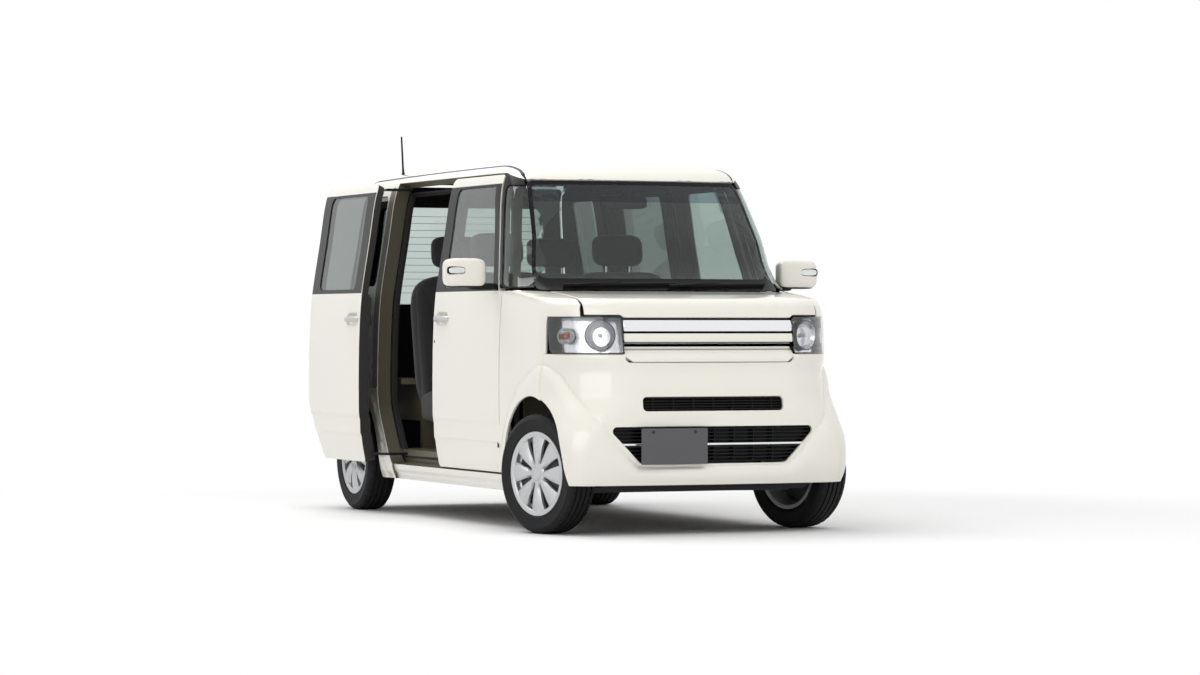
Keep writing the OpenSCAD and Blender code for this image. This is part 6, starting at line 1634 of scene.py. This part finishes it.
def seen_rays(tree):
    """1 for what the camera sees straight, mirrored or through glass, 0 for light that falls on things."""
    path = tree.nodes.new("ShaderNodeLightPath")
    seen = path.outputs["Is Camera Ray"]
    for kind in ("Is Glossy Ray", "Is Transmission Ray"):
        either = tree.nodes.new("ShaderNodeMath")
        either.operation = "MAXIMUM"
        tree.links.new(seen, either.inputs[0])
        tree.links.new(path.outputs[kind], either.inputs[1])
        seen = either.outputs["Value"]
    return seen


def stage_floor():
    """Pale paper that turns to plain white for the camera a few metres from the car."""
    mesh = bpy.data.meshes.new("studio_floor")
    reach = 60
    corners = [(-reach, -reach, 0), (reach, -reach, 0), (reach, reach, 0), (-reach, reach, 0)]
    mesh.from_pydata(corners, [], [(0, 1, 2, 3)])
    obj = bpy.data.objects.new("studio_floor", mesh)
    bpy.context.scene.collection.objects.link(obj)
    mat = finish("studio_paper", (0.90, 0.90, 0.90), 0.9, None, (0.2, 0.01))
    tree = mat.node_tree
    new, link = tree.nodes.new, tree.links.new
    place, length, fade = new("ShaderNodeTexCoord"), new("ShaderNodeVectorMath"), new("ShaderNodeMapRange")
    both, glow, mix = new("ShaderNodeMath"), new("ShaderNodeEmission"), new("ShaderNodeMixShader")
    length.operation, both.operation = "LENGTH", "MULTIPLY"
    fade.interpolation_type = "SMOOTHSTEP"
    fade.inputs["From Min"].default_value, fade.inputs["From Max"].default_value = FADE_START, FADE_END
    link(place.outputs["Object"], length.inputs[0])
    link(length.outputs["Value"], fade.inputs["Value"])
    link(fade.outputs["Result"], both.inputs[0])
    link(seen_rays(tree), both.inputs[1])
    link(both.outputs["Value"], mix.inputs["Fac"])
    link(tree.nodes["Principled BSDF"].outputs["BSDF"], mix.inputs[1])
    link(glow.outputs["Emission"], mix.inputs[2])
    link(mix.outputs["Shader"], tree.nodes["Material Output"].inputs["Surface"])
    mesh.materials.append(mat)
    return obj


stage_floor()
world = bpy.data.worlds.new("studio")
bpy.context.scene.world = world
world.use_nodes = True
tree = world.node_tree
back = tree.nodes["Background"]
white, mix = tree.nodes.new("ShaderNodeBackground"), tree.nodes.new("ShaderNodeMixShader")
coords, split, ramp = (tree.nodes.new("ShaderNodeTexCoord"), tree.nodes.new("ShaderNodeSeparateXYZ"),
                       tree.nodes.new("ShaderNodeValToRGB"))
ramp.color_ramp.elements[0].color = (0.22, 0.22, 0.23, 1)
ramp.color_ramp.elements[1].color = (1.0, 1.0, 1.0, 1)
ramp.color_ramp.elements[1].position = 0.9
back.inputs["Strength"].default_value = 0.68
white.inputs["Color"].default_value = (1, 1, 1, 1)
tree.links.new(coords.outputs["Generated"], split.inputs["Vector"])
tree.links.new(split.outputs["Z"], ramp.inputs["Fac"])
tree.links.new(ramp.outputs["Color"], back.inputs["Color"])
tree.links.new(seen_rays(tree), mix.inputs["Fac"])
tree.links.new(back.outputs["Background"], mix.inputs[1])
tree.links.new(white.outputs["Background"], mix.inputs[2])
tree.links.new(mix.outputs["Shader"], tree.nodes["World Output"].inputs["Surface"])


def softbox(name, place, aim, size, power):
    """An area lamp that looks at a point."""
    lamp = bpy.data.lights.new(name, "AREA")
    lamp.shape, lamp.size, lamp.size_y, lamp.energy = "RECTANGLE", size[0], size[1], power
    obj = bpy.data.objects.new(name, lamp)
    obj.location = place
    obj.rotation_euler = (Vector(aim) - Vector(place)).to_track_quat("-Z", "Y").to_euler()
    bpy.context.scene.collection.objects.link(obj)
    return obj


# name, place, aim, width and depth, power
SOFT_BOXES = (
    ("overhead", (-2.0, -1.6, 6.0), (-0.3, 0, 0.8), (5, 4.5), 235),
    ("front_left", (7.5, -8.0, 4.6), (0.6, 0, 0.9), (9, 6), 275),
    ("front", (6.5, 1.5, 7.0), (1.2, 0, 0.9), (5, 4), 220),
)
boxes = {row[0]: softbox(*row) for row in SOFT_BOXES}
boxes["front"].visible_glossy = boxes["front"].visible_transmission = False

CAMERA_PLACE, CAMERA_TURN, CAMERA_TILT = (17.6005, -7.2743, 0.9676), 157.196, -0.19
CAMERA_LENS, CAMERA_SENSOR = 114.2, 36.0
camera_data = bpy.data.cameras.new("photo_camera")
camera_data.lens, camera_data.sensor_width = CAMERA_LENS, CAMERA_SENSOR
camera_data.clip_end = 200
camera = bpy.data.objects.new("photo_camera", camera_data)
camera.location = CAMERA_PLACE
camera.rotation_euler = (math.radians(90 + CAMERA_TILT), 0, math.radians(CAMERA_TURN - 90))
bpy.context.scene.collection.objects.link(camera)
bpy.context.scene.camera = camera
bpy.context.scene.view_settings.view_transform = "Standard"
print("camera at", tuple(round(v, 3) for v in camera.location))
